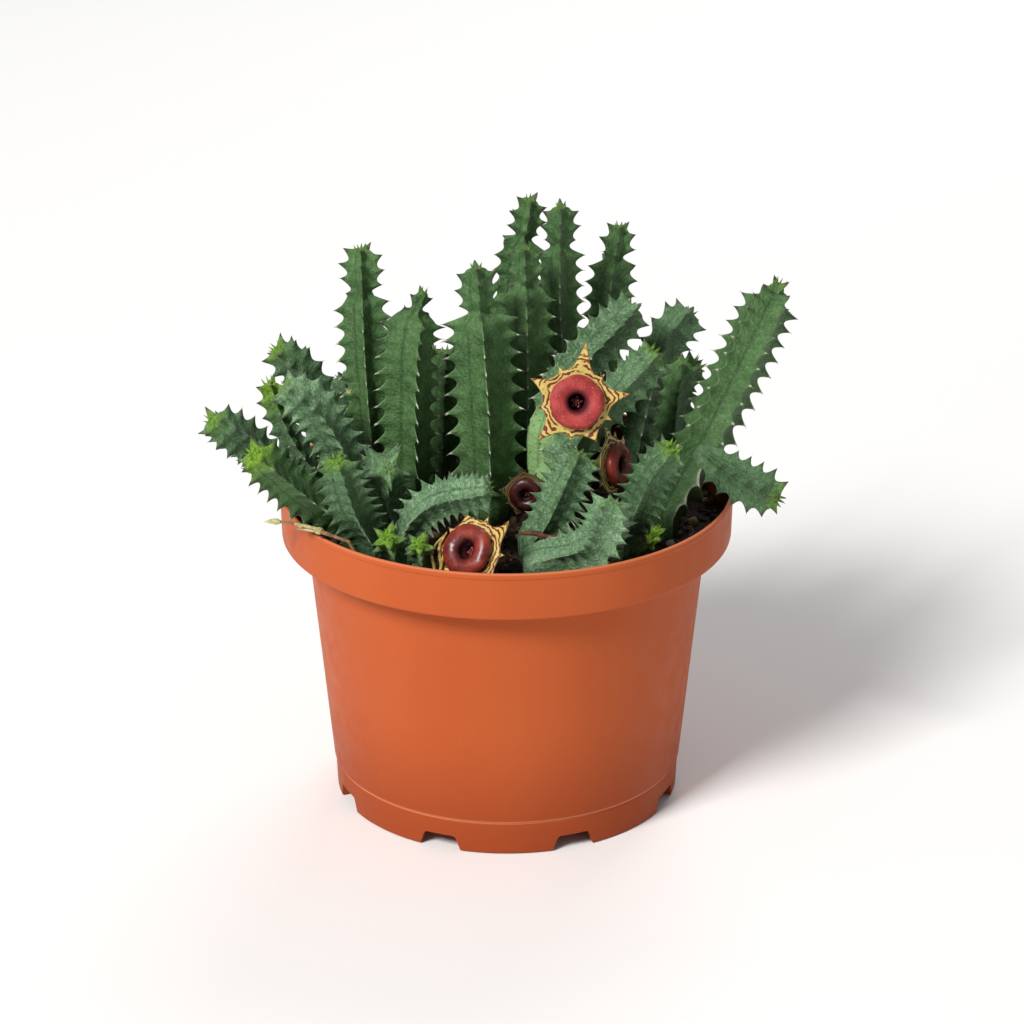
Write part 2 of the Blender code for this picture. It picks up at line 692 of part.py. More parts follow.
def build_corona(name, frame, collection, material):
    """The dark corona, in the throat of the star."""
    bm = bmesh.new()
    bmesh.ops.create_cone(bm, cap_ends=True, segments=CORONA_SIDES, radius1=CORONA_RADIUS,
                          radius2=CORONA_TOP_RADIUS, depth=CORONA_HEIGHT)
    lift = Matrix.Translation((0, 0, CORONA_HEIGHT / 2 + CORONA_GAP - THROAT_DEPTH))
    bm.transform(frame @ lift)
    add_object(f"flower_{name}_corona", bm, collection, material)


def main():
    """Build the whole part."""
    clear_scene()
    collection = new_collection("potted_lifesaver_cactus")
    pot_cutters = new_collection("pot_cutters")
    soil_cutters = new_collection("soil_cutters")
    guides = new_collection("guides")
    materials = {name: make_material(name) for name in COLOURS}
    build_pot(collection, pot_cutters, materials["pot"])
    build_soil(collection, soil_cutters, materials["soil"])
    bearers = {}
    for name, stem in STEMS.items():
        obj = build_stem(name, collection, materials["young_stem" if stem.young else "stem"])
        bm = bmesh.new()
        bm.from_mesh(obj.data)
        bearers[name] = BVHTree.FromBMesh(bm)
        bm.free()
        if name == BRANCH_PARENT:
            build_branch(obj, guides, materials["stem"])
    for name, flower in FLOWERS.items():
        frame = flower_frame(flower)
        build_corolla(name, flower, frame, bearers[flower.bearer], collection, materials["corolla"])
        build_annulus(name, frame, collection, materials["annulus"])
        build_corona(name, frame, collection, materials["corona"])
    for name in DRIED:
        build_dried(name, collection, materials["dried_bloom"])


main()
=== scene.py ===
import json
import math
import random
from collections import namedtuple

import bpy
import numpy as np
from mathutils import Matrix, Vector
from mathutils.bvhtree import BVHTree

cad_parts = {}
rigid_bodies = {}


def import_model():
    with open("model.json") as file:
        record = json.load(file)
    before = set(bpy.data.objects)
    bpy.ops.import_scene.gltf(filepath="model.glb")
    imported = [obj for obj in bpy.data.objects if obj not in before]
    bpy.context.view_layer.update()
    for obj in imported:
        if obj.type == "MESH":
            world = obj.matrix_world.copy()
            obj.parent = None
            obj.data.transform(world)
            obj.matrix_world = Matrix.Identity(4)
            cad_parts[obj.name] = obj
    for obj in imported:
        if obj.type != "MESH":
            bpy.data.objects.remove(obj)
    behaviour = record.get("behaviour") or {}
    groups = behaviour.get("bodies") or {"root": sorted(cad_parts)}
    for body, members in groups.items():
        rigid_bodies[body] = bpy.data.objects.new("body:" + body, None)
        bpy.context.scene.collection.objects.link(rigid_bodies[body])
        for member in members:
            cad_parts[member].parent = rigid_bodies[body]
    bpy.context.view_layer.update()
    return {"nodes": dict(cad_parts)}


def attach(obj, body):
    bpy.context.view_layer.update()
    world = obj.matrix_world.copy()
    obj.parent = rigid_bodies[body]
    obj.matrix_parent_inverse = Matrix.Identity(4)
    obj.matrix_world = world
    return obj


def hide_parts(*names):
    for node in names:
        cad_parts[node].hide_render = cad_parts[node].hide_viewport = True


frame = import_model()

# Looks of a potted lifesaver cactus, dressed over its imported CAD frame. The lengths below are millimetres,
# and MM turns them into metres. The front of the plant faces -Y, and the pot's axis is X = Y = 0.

MM = 0.001
SEED = 11

# Pot, from the CAD part's dimensions
RIM_RADIUS = 76.2
POT_HEIGHT = 109.0
COLLAR_FOOT_RADIUS = 75.4
COLLAR_FOOT = 92.5
BODY_TOP_RADIUS = 67.2
BODY_FOOT_RADIUS = 59.2
BODY_FOOT = 11.4
FOOT_RADIUS = 58.2
FOOT_WALL = 2.2
WALL = 1.4
FLOOR_UNDERSIDE = 6.4
FLOOR_THICKNESS = 1.8
POT_STEPS = 256
SHARP_ANGLE = 32.0
NOTCHES = 8
NOTCH_WIDTH = 14.0
NOTCH_TOP_WIDTH = 11.0
NOTCH_HEIGHT = 5.2
NOTCH_FILLET = 1.2
NOTCH_DEPTH = 8.0
DRAIN_RADIUS = 4.5
DRAIN_RING = 38.0
DRAINS = 4
DRAIN_SIDES = 32

# Soil
SOIL_EDGE = 95.5
SOIL_CROWN = 97.5
SOIL_RADIUS = 73.7
SOIL_RINGS = 64
SOIL_COLUMNS = 160
RIPPLES = ((0.5, 9.0), (0.35, 4.2), (0.28, 2.1), (0.22, 1.2))
RIPPLE_HEIGHT = 0.45
SETTLED = 0.4
SOIL_GAP = 0.3
CRUMBS = 1500
CRUMB_MARGIN = 1.5
FIBRES = 150
FIBRE_MARGIN = 6.0
FIBRE_POINTS = 7
FIBRE_RADII = (0.16, 0.07)

# Stems, with the CAD part's rules
ROOT_DEPTH = 40.0
BURIED = 4.0
SPINE_STEP = 0.5
SPINE_SAMPLES = 200
TIP_PITCH = 4.6
LOW_PITCH = 7.2
PITCH_RUN = 60.0
DENSE_PITCH = 0.74
DENSE_STAND = 1.18
TOOTH_LENGTH = 4.4
TOOTH_SHARE = 0.34
SHOOT_TOOTH_SHARE = 0.5
SHOOT_REACHES = (4.0, 8.5)
VALLEY_SHARES = {4: 0.71, 5: 0.735}
BARE_SHARE = 0.74
BARE_VALLEY = 0.92
BARE_FADE = (5.0, 6.0)
FIRST_LEVEL = 7.0
APEX = 2.2
FOOT_SHARE = 0.56
FOOT_START = 3.0
FOOT_RUN = 16.0
FOOT_POWER = 0.7
DOME_SHARE = 0.42
DOME_RUN = 7.0
NECK_WIDTH = 2.0
NECK_DEPTH = 0.3
SHOULDER_RUN = 3.5
TO_VIEWER = (0.0, -1.0, 0.42)

# The finer skin of the stems
ROWS_PER_PITCH = 12
RIB_WIDTHS = (0.06, 0.16, 0.32, 0.55, 0.8)
TOOTH_POWER = 2.0
TOOTH_HALF_WIDTH = 2.1
BLADE_POWER = 1.5
TOOTH_JITTER = (0.84, 1.06)
GROWN_RUN = 9.0
WOBBLES = ((0.16, 6.1), (0.12, 2.9))
KEEL = 0.18
OLD_LEAN = -0.14
YOUNG_LEAN = 0.5
YOUNG_RUN = 16.0
OLD_FROM = 10.0
OLD_RUN = 26.0
SWELLING = 0.2
GREEN_SWELLING = 0.14
PALE_FADE = (9.0, 8.0)
LIMES = (2.5, 4.0)
BRISTLE = 2.2
BRISTLE_RADIUS = 0.27
CROWN_TEETH = 6
CROWN_RISE = 1.0
DOME_ROWS = 5
DOME_CELLS = 0.3
DOME_END = 1.2
CORK_TOP = 34.0
CORK_RUN = 12.0

Stem = namedtuple("Stem", "foot bend tip reach ribs turn head head_share bare skin lime pale deep dense",
                  defaults=(5, 0, 0, 1.0, 7, "green", 2.0, 0.0, 0.0, False))
STEMS = {
    "stem_tall_left": Stem((-44, 12), (-47, 10, 150), (-48, 12, 189), 10.0, head=16, head_share=0.80, bare=9,
                           deep=0.1),
    "stem_broad_left": Stem((-33, -4), (-32, -6, 158), (-27, -5, 180), 11.6, ribs=4, turn=20, head=8,
                            head_share=0.42, deep=0.22),
    "stem_central_front": Stem((-6, -6), (-7, -4, 140), (-10, -1, 187), 13.3, ribs=4, turn=4, head=16,
                               head_share=0.58),
    "stem_central_rear": Stem((7, 14), (7, 17, 150), (6, 18, 187), 10.2, ribs=4, head=14, head_share=0.68),
    "stem_tallest": Stem((-5, 38), (2, 42, 159), (8, 40, 197), 9.4, turn=10, head=15, head_share=0.74),
    "stem_tall_centre": Stem((24, 32), (18, 34, 154), (18, 32, 197), 8.6, ribs=4, head=15, head_share=0.82,
                             deep=0.08),
    "stem_tall_right": Stem((30, 50), (34, 54, 147), (39, 56, 182), 9.2, head=12, head_share=0.76),
    "stem_right_rear": Stem((14, -1), (17, 2, 139), (43, 20, 166), 10.2, turn=15, bare=32, skin="blue",
                            pale=1.0),
    "stem_right_far": Stem((43, 28), (53, 36, 142), (63, 44, 155), 9.6, skin="dusty"),
    "stem_right_middle": Stem((11, -16), (20, -14.7, 126), (50, -4, 158), 9.2, turn=10, bare=20, skin="blue",
                              lime=2.8, pale=1.0),
    "stem_right_shaded": Stem((56, 12), (57, 18, 128), (59, 18, 147), 7.4, ribs=4),
    "stem_right_leaning": Stem((50, -14), (69, 0, 132), (92, 30, 170), 11.4, turn=34, head=5,
                               head_share=0.58, lime=2.8),
    "stem_front_right_upright": Stem((38, -34), (46, -42, 127), (54, -46, 141), 8.8, skin="dusty", lime=2.8,
                                     dense=True),
    "stem_front_right_lying": Stem((4, -50), (28, -57.5, 111), (34.5, -59.5, 128), 10.4, bare=14,
                                   skin="frosted", dense=True),
    "stem_front_centre": Stem((7, -36), (15, -38, 114), (24.5, -37, 136), 9.9, bare=9, skin="blue",
                              dense=True),
    "stem_front_left_upright": Stem((-43, -36), (-51, -45, 121), (-55, -49, 138), 9.6, skin="dusty", lime=2.8,
                                    dense=True),
    "stem_left_end_on": Stem((-37, -21), (-41, -28, 123), (-37.5, -41, 131), 9.8, skin="blue", dense=True),
    "stem_front_left_lying": Stem((-33, -34), (-24, -42, 119), (-4, -49, 127), 8.8, skin="frosted",
                                  dense=True),
    "shoot_left": Stem((-36, -47), (-37, -52, 108), (-38.5, -58.5, 115), 7.6, skin="blue", lime=4.5),
    "shoot_centre": Stem((-27, -53), (-27.5, -57, 108), (-28, -63, 114.5), 6.5, skin="blue", lime=5),
    "shoot_right": Stem((43, -42), (46.5, -49, 108), (49, -52.5, 115), 3.6, skin="lime", lime=10),
    "stem_left_rear": Stem((-54, 22), (-66, 22, 136), (-78, 18, 151), 8.8, skin="dusty", lime=2.8),
    "stem_left_middle": Stem((-46.3, -7), (-61, -15.7, 138.2), (-73, -19, 152), 10.4, turn=10,
                             skin="frosted"),
    "stem_left_young": Stem((-58, 6), (-73, 1, 127), (-79, 0, 146), 6.6, skin="dusty", lime=9),
    "stem_far_left": Stem((-57.3, -12.6), (-81, -25.8, 130), (-96, -35, 146), 8.8, turn=20, skin="dusty",
                          lime=3),
    "stem_low_left": Stem((-48, -24), (-69, -36, 122), (-82, -47, 139), 9.6, lime=5),
    "stem_back_centre": Stem((-2, 56), (-4, 62, 130), (-5, 66, 150), 9.6, turn=10, head=12, head_share=0.7),
    "stem_back_left": Stem((-24, 42), (-26, 48, 122), (-26, 52, 139), 9.6, turn=30),
    "stem_back_left_low": Stem((-42, 38), (-50, 47, 115), (-58, 54, 128), 8.6, skin="dusty"),
    "stem_back_left_lying": Stem((-24, 52), (-31, 63, 115), (-40, 70, 121), 7.4, turn=20, skin="blue",
                                 dense=True),
    "stem_back_right": Stem((40, 42), (55, 51, 121), (67, 57, 131), 8.0, skin="dusty", lime=3),
    "stem_back_right_low": Stem((16, 56), (19, 66, 114), (24, 70, 128), 8.2, turn=15, skin="blue",
                                dense=True),
    "stem_middle_filler": Stem((-22, 20), (-21, 22, 130), (-20, 23, 149), 8.8),
}
CORKY_STEM = "stem_right_leaning"
YOUNG_STEMS = ("shoot_left", "shoot_centre", "shoot_right", "stem_left_young")
BRANCH_NAME = "stem_right_branch"
BRANCH = ((63, -11, 126), (76, -21, 119), (90, -28, 114))
BRANCH_STEM = Stem(None, None, None, 9.4, bare=2.0, skin="dusty", lime=2.8)

Flower = namedtuple("Flower", "centre azimuth elevation roll size curl lobes bearer")
FLOWERS = {
    "main": Flower((22.6, -36, 152), 2, 20, 8, 1.0, -1.0, (17.7, 20.0, 16.8, 17.7, 14.5),
                   "stem_right_middle"),
    "right": Flower((34.8, -23.2, 125), 66, 8, 20, 0.86, -3.0, (17, 16, 11.5, 11.5, 15), "stem_right_middle"),
    "low": Flower((-11.5, -61.5, 110.5), -36, 34, 45, 0.98, 5.0, (18, 13, 11.8, 12, 13),
                  "stem_front_left_lying"),
    "hidden": Flower((6.5, -23.8, 115), -8, 8, 30, 0.62, 6.0, (15, 15, 15, 13, 13), "stem_right_middle"),
}
COLUMNS_PER_LOBE = 32
LIMB_RINGS = 18
LIMB_FOOT = 8.6
NOTCH_REACH = 10.9
POINT_REACH = 13.0
LOBE_SPAN = 1.7
LOBE_POWER = 3.6
POINT_POWER = 1.7
FOLD = 0.35
FOLD_START = 9.0
FOLD_RUN = 4.0
CURL_RUN = 8.0
PETAL_THICKNESS = 0.7
TUBE_DEPTH = 7.0
TUBE_RINGS = ((2.4, -6.2, 1.0), (4.2, -4.8, 0.9), (6.0, -3.3, 0.75), (7.8, -2.0, 0.5))
STALK_RADIUS = 1.2
STALK_SINK = 0.6
RING_SEAT_RADIUS = 8.2
RING_RADIUS = 5.8
RING_TUBE = 3.0
RING_FLATNESS = 0.72
RING_CORNERS = 0.022
RING_UNEVENNESS = 0.006
RING_LIFT = 0.3
RING_STEPS = (96, 32)
THROAT_DEPTH = 3.4
THROAT_RINGS = ((5.5, 0.0), (2.9, -0.2), (2.5, -1.6), (2.3, -THROAT_DEPTH))
CORONA_BEADS = ((5, 1.55, 1.9, 0.62), (5, 0.75, 2.5, 0.45), (1, 0, 2.6, 0.4))

# Camera, fitted to the photograph: its place in metres and its tilt in radians
CAMERA_PLACE = (0.0018, -1.2, 0.603)
CAMERA_PITCH = 0.398
FOCAL_PIXELS = 3876.0
FRAME_PIXELS = 1024.0
SENSOR = 36.0


# Materials
PLAIN_SOCKETS = {"specular": "Specular IOR Level", "coat": "Coat Weight", "coat_roughness": "Coat Roughness"}


class Graph:
    """A Principled material whose nodes are added by short calls."""

    def __init__(self, name):
        self.material = bpy.data.materials.new(name)
        self.material.use_nodes = True
        self.nodes = self.material.node_tree.nodes
        self.links = self.material.node_tree.links
        self.shader = self.nodes["Principled BSDF"]
        self.colour = None

    def feed(self, socket, value):
        """Link a node's output, or set a plain value."""
        if isinstance(value, bpy.types.NodeSocket):
            self.links.new(value, socket)
        elif isinstance(value, tuple) and len(value) == 3 and socket.type == "RGBA":
            socket.default_value = (*value, 1.0)
        elif value is not None:
            socket.default_value = value

    def node(self, kind, inputs, output=0, **settings):
        """Add a node, feed its inputs, and give one of its outputs."""
        node = self.nodes.new("ShaderNode" + kind)
        for name, value in settings.items():
            setattr(node, name, value)
        for key, value in inputs.items():
            self.feed(node.inputs[key], value)
        return node.outputs[output]

    def point(self):
        return self.node("TexCoord", {}, "Object")

    def attribute(self, name, output="Fac"):
        return self.node("Attribute", {}, output, attribute_name=name)

    def math(self, operation, a, b=0.0, clamp=False):
        return self.node("Math", {0: a, 1: b}, operation=operation, use_clamp=clamp)

    def times(self, a, b):
        return self.math("MULTIPLY", a, b)

    def span(self, value, low, high, to_low=0.0, to_high=1.0):
        inputs = dict(enumerate((value, low, high, to_low, to_high)))
        return self.node("MapRange", inputs, interpolation_type="SMOOTHSTEP")

    def mix(self, share, a, b):
        return self.node("Mix", {0: share, 6: a, 7: b}, 2, data_type="RGBA")

    def part(self, vector, letter):
        return self.node("SeparateXYZ", {0: vector}, letter)

    def scaled(self, vector, scale):
        return self.node("Mapping", {"Vector": vector, "Scale": scale})

    def noise(self, vector, scale, detail=3.0, roughness=0.55, distortion=0.0):
        return self.node("TexNoise", {"Vector": vector, "Scale": scale, "Detail": detail,
                                      "Roughness": roughness, "Distortion": distortion}, "Fac")

    def bump(self, height, distance, strength=1.0, normal=None):
        return self.node("Bump", {"Strength": strength, "Distance": distance, "Height": height,
                                  "Normal": normal})

    def paint(self, share, shade):
        """Lay a shade over the colour so far."""
        self.colour = self.mix(share, self.colour, shade)

    def finish(self, roughness, normal=None, **plain):
        inputs = {"Base Color": self.colour, "Roughness": roughness, "Normal": normal}
        inputs.update((PLAIN_SOCKETS[name], value) for name, value in plain.items())
        for key, value in inputs.items():
            self.feed(self.shader.inputs[key], value)
        return self.material


# The skins' colours: dark and light green, bloom, its amount, the dark colour for speckles and painted shade,
# tooth edge, and how strongly painted shade darkens the foot. That painted shade fades out between two
# heights, in metres.
BASE_SHADE_HEIGHTS = (0.104, 0.136)
Skin = namedtuple("Skin", "dark light bloom bloom_amount furrow edge grime", defaults=(0.0,))
SKINS = {
    "green": Skin((0.040, 0.108, 0.028), (0.098, 0.215, 0.066), (0.25, 0.38, 0.20), 0.25,
                  (0.020, 0.06, 0.012), (0.045, 0.028, 0.022), 0.6),
    "dusty": Skin((0.038, 0.100, 0.034), (0.100, 0.205, 0.080), (0.28, 0.42, 0.27), 0.42,
                  (0.024, 0.066, 0.02), (0.05, 0.035, 0.035), 0.3),
    "blue": Skin((0.046, 0.120, 0.040), (0.128, 0.245, 0.108), (0.36, 0.53, 0.34), 0.6,
                 (0.03, 0.078, 0.026), (0.08, 0.09, 0.06)),
    "frosted": Skin((0.064, 0.155, 0.058), (0.172, 0.310, 0.150), (0.43, 0.61, 0.42), 0.66,
                    (0.04, 0.10, 0.036), (0.08, 0.09, 0.06)),
    "lime": Skin((0.08, 0.18, 0.03), (0.15, 0.30, 0.06), (0.3, 0.44, 0.2), 0.25, (0.05, 0.14, 0.02),
                 (0.10, 0.08, 0.04)),
}


def stem_material(name):
    """Waxy mottled skin: painted shade in the furrows and at the foot, pale crests, dark tooth edges, lime
    tips and dry bristles.
    """
    skin = SKINS[name]
    g = Graph(f"stem_{name}")
    point = g.point()
    flow = g.attribute("flow", "Vector")
    crest, tooth, young, dry, pale, old = map(g.attribute, ("crest", "tooth", "young", "dry", "pale", "old"))
    broad = g.noise(point, 90.0, 3.0)
    patch = g.noise(point, 330.0, 4.0, 0.6)
    fine = g.noise(point, 900.0, 4.0, 0.65)
    speckle = g.noise(point, 1900.0, 2.0)
    g.colour = g.mix(g.span(broad, 0.3, 0.7), skin.dark, skin.light)
    g.paint(g.times(g.span(patch, 0.42, 0.62, 1.0, 0.0), 0.5), skin.dark)
    g.paint(g.times(g.span(fine, 0.5, 0.8), 0.4), skin.bloom)
    streak = g.noise(g.scaled(flow, (1.1, 1.9, 0.5)), 1.0, 5.0, 0.6, 0.3)
    bloom = g.times(g.span(streak, 0.35, 0.7), g.span(fine, 0.3, 0.65))
    g.paint(g.times(bloom, skin.bloom_amount), skin.bloom)
    g.paint(g.times(g.span(speckle, 0.56, 0.68), 0.6), skin.furrow)
    # painted shade: the furrows between the ribs are darkened
    g.paint(g.span(crest, 0.0, 0.2, 0.12, 0.0), skin.furrow)
    # painted shade: each stem's foot is darkened towards the soil, as strongly as its skin says
    g.paint(g.span(g.part(point, "Z"), *BASE_SHADE_HEIGHTS, skin.grime, 0.0), skin.furrow)
    margin = g.times(g.span(crest, 0.93, 1.0), g.span(old, 0.0, 0.6, 0.15, 0.5))
    g.paint(margin, (0.24, 0.34, 0.17))
    spots = g.span(g.noise(point, 420.0, 1.0), 0.66, 0.7)
    pale_colour = g.mix(spots, g.mix(broad, (0.20, 0.38, 0.13), (0.32, 0.50, 0.22)), (0.08, 0.20, 0.05))
    g.paint(pale, pale_colour)
    lime = g.mix(g.span(fine, 0.35, 0.7), (0.10, 0.24, 0.012), (0.27, 0.46, 0.03))
    g.paint(young, lime)
    edge = g.times(g.span(tooth, 0.35, 0.8), g.span(old, 0.0, 0.7, 0.85, 0.0))
    g.paint(edge, skin.edge)
    straw = g.mix(g.noise(point, 300.0), (0.62, 0.57, 0.44), (0.92, 0.90, 0.83))
    wear_and_highlight = g.times(g.span(tooth, 0.62, 0.92), g.span(old, 0.3, 1.0, 0.0, 0.85))
    g.paint(g.math("MAXIMUM", dry, wear_and_highlight), straw)
    roughness = g.span(fine, 0.2, 0.8, 0.42, 0.62)
    height = g.math("ADD", g.times(fine, 0.8), g.times(patch, 0.9))
    height = g.math("ADD", height, g.times(streak, 0.5))
    normal = g.bump(height, 0.0009, 0.85, g.bump(speckle, 0.0002, 0.9))
    return g.finish(roughness, normal, specular=0.35)


# Where the pot's marks lie, in metres: the painted highlights on the step over the foot and on the rim, the
# painted shade towards the foot, and the inner wall's peat dust and painted shade
STEP_HIGHLIGHT = ((0.0109, 0.0113), (0.0120, 0.0124))
RIM_HIGHLIGHT = (0.1082, 0.1089)
FOOT_SHADE = (0.0, 0.05)
INNER_REACH = (0.0747, 0.0752)
INNER_FOOT = (0.094, 0.0945)
INNER_TOP = (0.1035, 0.1078)


def pot_material():
    """Satin terracotta-coloured plastic: faint flow marks, painted shade towards the foot, painted highlights
    on the step and rim, and peat dust with painted shade on the inner wall.
    """
    g = Graph("pot_plastic")
    point = g.point()
    around = g.noise(g.scaled(point, (1.0, 1.0, 0.25)), 28.0, 3.0)
    fine = g.noise(point, 1500.0, 3.0)
    dust = g.span(g.noise(point, 620.0, 2.0, 0.7), 0.7, 0.76)
    g.colour = g.mix(around, (0.455, 0.086, 0.023), (0.525, 0.112, 0.031))
    g.paint(g.times(dust, 0.16), (0.75, 0.36, 0.2))
    height = g.part(point, "Z")
    # painted shade: the pot's colour darkens towards its foot
    g.paint(g.span(height, *FOOT_SHADE, 0.68, 0.0), (0.27, 0.045, 0.012))
    # painted highlights: a pale band over the step above the foot and a pale line along the rim
    step = g.times(g.span(height, *STEP_HIGHLIGHT[0]), g.span(height, *STEP_HIGHLIGHT[1], 1.0, 0.0))
    wear_and_highlight = g.math("MAXIMUM", g.times(step, 0.55), g.span(height, *RIM_HIGHLIGHT, 0.0, 0.4))
    g.paint(wear_and_highlight, (0.80, 0.30, 0.16))
    reach = g.math("SQRT", g.math("ADD", g.math("POWER", g.part(point, "X"), 2.0),
                                  g.math("POWER", g.part(point, "Y"), 2.0)))
    # peat dust and painted shade: the inner wall above the soil is darkened
    inside = g.times(g.span(reach, *INNER_REACH, 1.0, 0.0), g.span(height, *INNER_FOOT))
    inside = g.times(inside, g.span(height, *INNER_TOP, 0.85, 0.0))
    g.paint(inside, (0.045, 0.018, 0.009))
    roughness = g.span(g.noise(point, 140.0, 4.0), 0.3, 0.7, 0.42, 0.55)
    normal = g.bump(fine, 0.00005, 0.35, g.bump(around, 0.0006, 0.25))
    return g.finish(roughness, normal, specular=0.1)


def soil_material():
    """Damp peat: dark brown crumbs with light flecks."""
    g = Graph("soil_peat")
    point = g.point()
    clod = g.noise(point, 260.0, 5.0, 0.7)
    grain = g.noise(point, 1100.0, 4.0, 0.7)
    g.colour = g.mix(g.span(clod, 0.3, 0.7), (0.010, 0.006, 0.004), (0.055, 0.032, 0.018))
    g.paint(g.span(grain, 0.62, 0.72), (0.20, 0.13, 0.07))
    normal = g.bump(grain, 0.0009, 1.0, g.bump(clod, 0.0025, 1.0))
    return g.finish(g.span(clod, 0.2, 0.8, 0.75, 1.0), normal, specular=0.25)


def crumb_material():
    """Peat crumbs, bark and pale grit, each in its own shade."""
    g = Graph("soil_crumbs")
    shade = g.attribute("shade")
    grain = g.noise(g.point(), 1300.0, 4.0, 0.7)
    g.colour = g.mix(g.span(shade, 0.0, 0.7), (0.012, 0.007, 0.005), (0.075, 0.042, 0.022))
    g.paint(g.span(shade, 0.80, 0.95), (0.30, 0.20, 0.11))
    g.paint(g.span(shade, 0.965, 0.985), (0.62, 0.55, 0.42))
    g.paint(g.times(grain, 0.35), (0.02, 0.012, 0.008))
    return g.finish(0.85, g.bump(grain, 0.0005, 0.9), specular=0.25)


# The stars' dark and light yellow, lighter yellows as painted light on the right bloom, and the painted shade
# over each bloom's star
STAR_YELLOWS = ((0.46, 0.33, 0.06), (0.74, 0.60, 0.19))
PAINTED_LIGHT_STAR_YELLOWS = ((0.74, 0.58, 0.16), (0.98, 0.86, 0.40))
STAR_PAINTED_SHADE = {"hidden": 0.82}
RING_KINDS = {"main": "rose", "hidden": "shaded"}


def corolla_material(name):
    """Pale yellow petals with broken, wavy maroon stripes that run round the star, lightened as painted light
    on the right bloom and darkened as painted shade on the hidden one.
    """
    g = Graph(f"corolla_{name}")
    point = g.point()
    radial, tube, margin = map(g.attribute, ("radial", "tube", "margin"))
    wave = g.noise(point, 260.0, 2.0)
    breaks = g.noise(point, 330.0, 2.0)
    rings = g.math("ADD", g.times(radial, 2.4), g.times(margin, 7.0))
    phase = g.math("ADD", rings, g.times(wave, 15.0))
    stripe = g.span(g.math("SINE", phase), 0.0, 0.5)
    stripe = g.times(stripe, g.span(breaks, 0.36, 0.44))
    stripe = g.times(stripe, g.span(radial, 15.0, 20.0, 1.0, 0.2))
    stripe = g.math("MAXIMUM", stripe, g.span(margin, 0.9, 0.97, 0.0, 0.75))
    stripe = g.times(stripe, g.span(tube, 0.0, 0.6, 1.0, 0.25))
    # painted light: the right bloom's star gets paler, brighter yellows
    yellow = g.mix(g.noise(point, 420.0, 3.0), *(PAINTED_LIGHT_STAR_YELLOWS if name == "right" else STAR_YELLOWS))
    yellow = g.mix(tube, yellow, (0.40, 0.50, 0.20))
    g.colour = g.mix(stripe, yellow, (0.17, 0.022, 0.012))
    throat = g.times(g.span(radial, 4.0, 8.0, 1.0, 0.0), g.math("SUBTRACT", 1.0, tube, True))
    g.paint(throat, (0.06, 0.006, 0.01))
    # painted shade: the hidden bloom's star is darkened
    g.paint(STAR_PAINTED_SHADE.get(name, 0.0), (0.025, 0.016, 0.006))
    normal = g.bump(g.math("SUBTRACT", g.noise(point, 700.0), stripe), 0.0003, 0.7)
    return g.finish(0.5, normal, specular=0.4)


def annulus_material(kind):
    """The lifesaver ring: velvety rose with pale specks on the open bloom, glossy blood red on the others,
    darkened as painted shade on the hidden bloom.
    """
    g = Graph(f"annulus_{kind}")
    point = g.point()
    radial = g.attribute("radial")
    broad = g.noise(point, 220.0, 3.0)
    fine = g.noise(point, 1700.0, 3.0)
    if kind != "rose":
        g.colour = g.mix(g.span(broad, 0.3, 0.7), (0.115, 0.013, 0.010), (0.28, 0.036, 0.020))
        g.paint(g.span(radial, 3.0, 5.2, 0.85, 0.0), (0.035, 0.004, 0.006))
        # painted shade: the hidden bloom's ring is darkened
        g.paint(0.85 if kind == "shaded" else 0.0, (0.02, 0.003, 0.004))
        return g.finish(g.span(broad, 0.3, 0.7, 0.3, 0.44), g.bump(broad, 0.0007, 0.6),
                        specular=0.4, coat=0.12, coat_roughness=0.2)
    g.colour = g.mix(g.span(broad, 0.3, 0.7), (0.27, 0.022, 0.022), (0.44, 0.055, 0.050))
    g.paint(g.times(g.span(fine, 0.6, 0.68), 0.4), (0.70, 0.26, 0.22))
    g.paint(g.span(radial, 3.0, 5.0, 0.95, 0.0), (0.07, 0.006, 0.012))
    return g.finish(g.span(fine, 0.3, 0.7, 0.5, 0.7), g.bump(fine, 0.00018, 0.8), specular=0.3)


def corona_material():
    """Dark maroon beads."""
    g = Graph("corona_maroon")
    noise = g.noise(g.point(), 1200.0, 3.0)
    g.colour = g.mix(g.span(noise, 0.35, 0.65), (0.07, 0.008, 0.014), (0.38, 0.08, 0.085))
    return g.finish(0.22, g.bump(noise, 0.00012, 0.5), specular=0.5)


def dried_material(name, dark, light):
    """Dry, wrinkled plant skin."""
    g = Graph(name)
    point = g.point()
    wrinkle = g.noise(point, 700.0, 4.0, 0.7, 0.6)
    g.colour = g.mix(g.span(wrinkle, 0.3, 0.7), dark, light)
    return g.finish(0.7, g.bump(wrinkle, 0.0004, 0.9), specular=0.3)


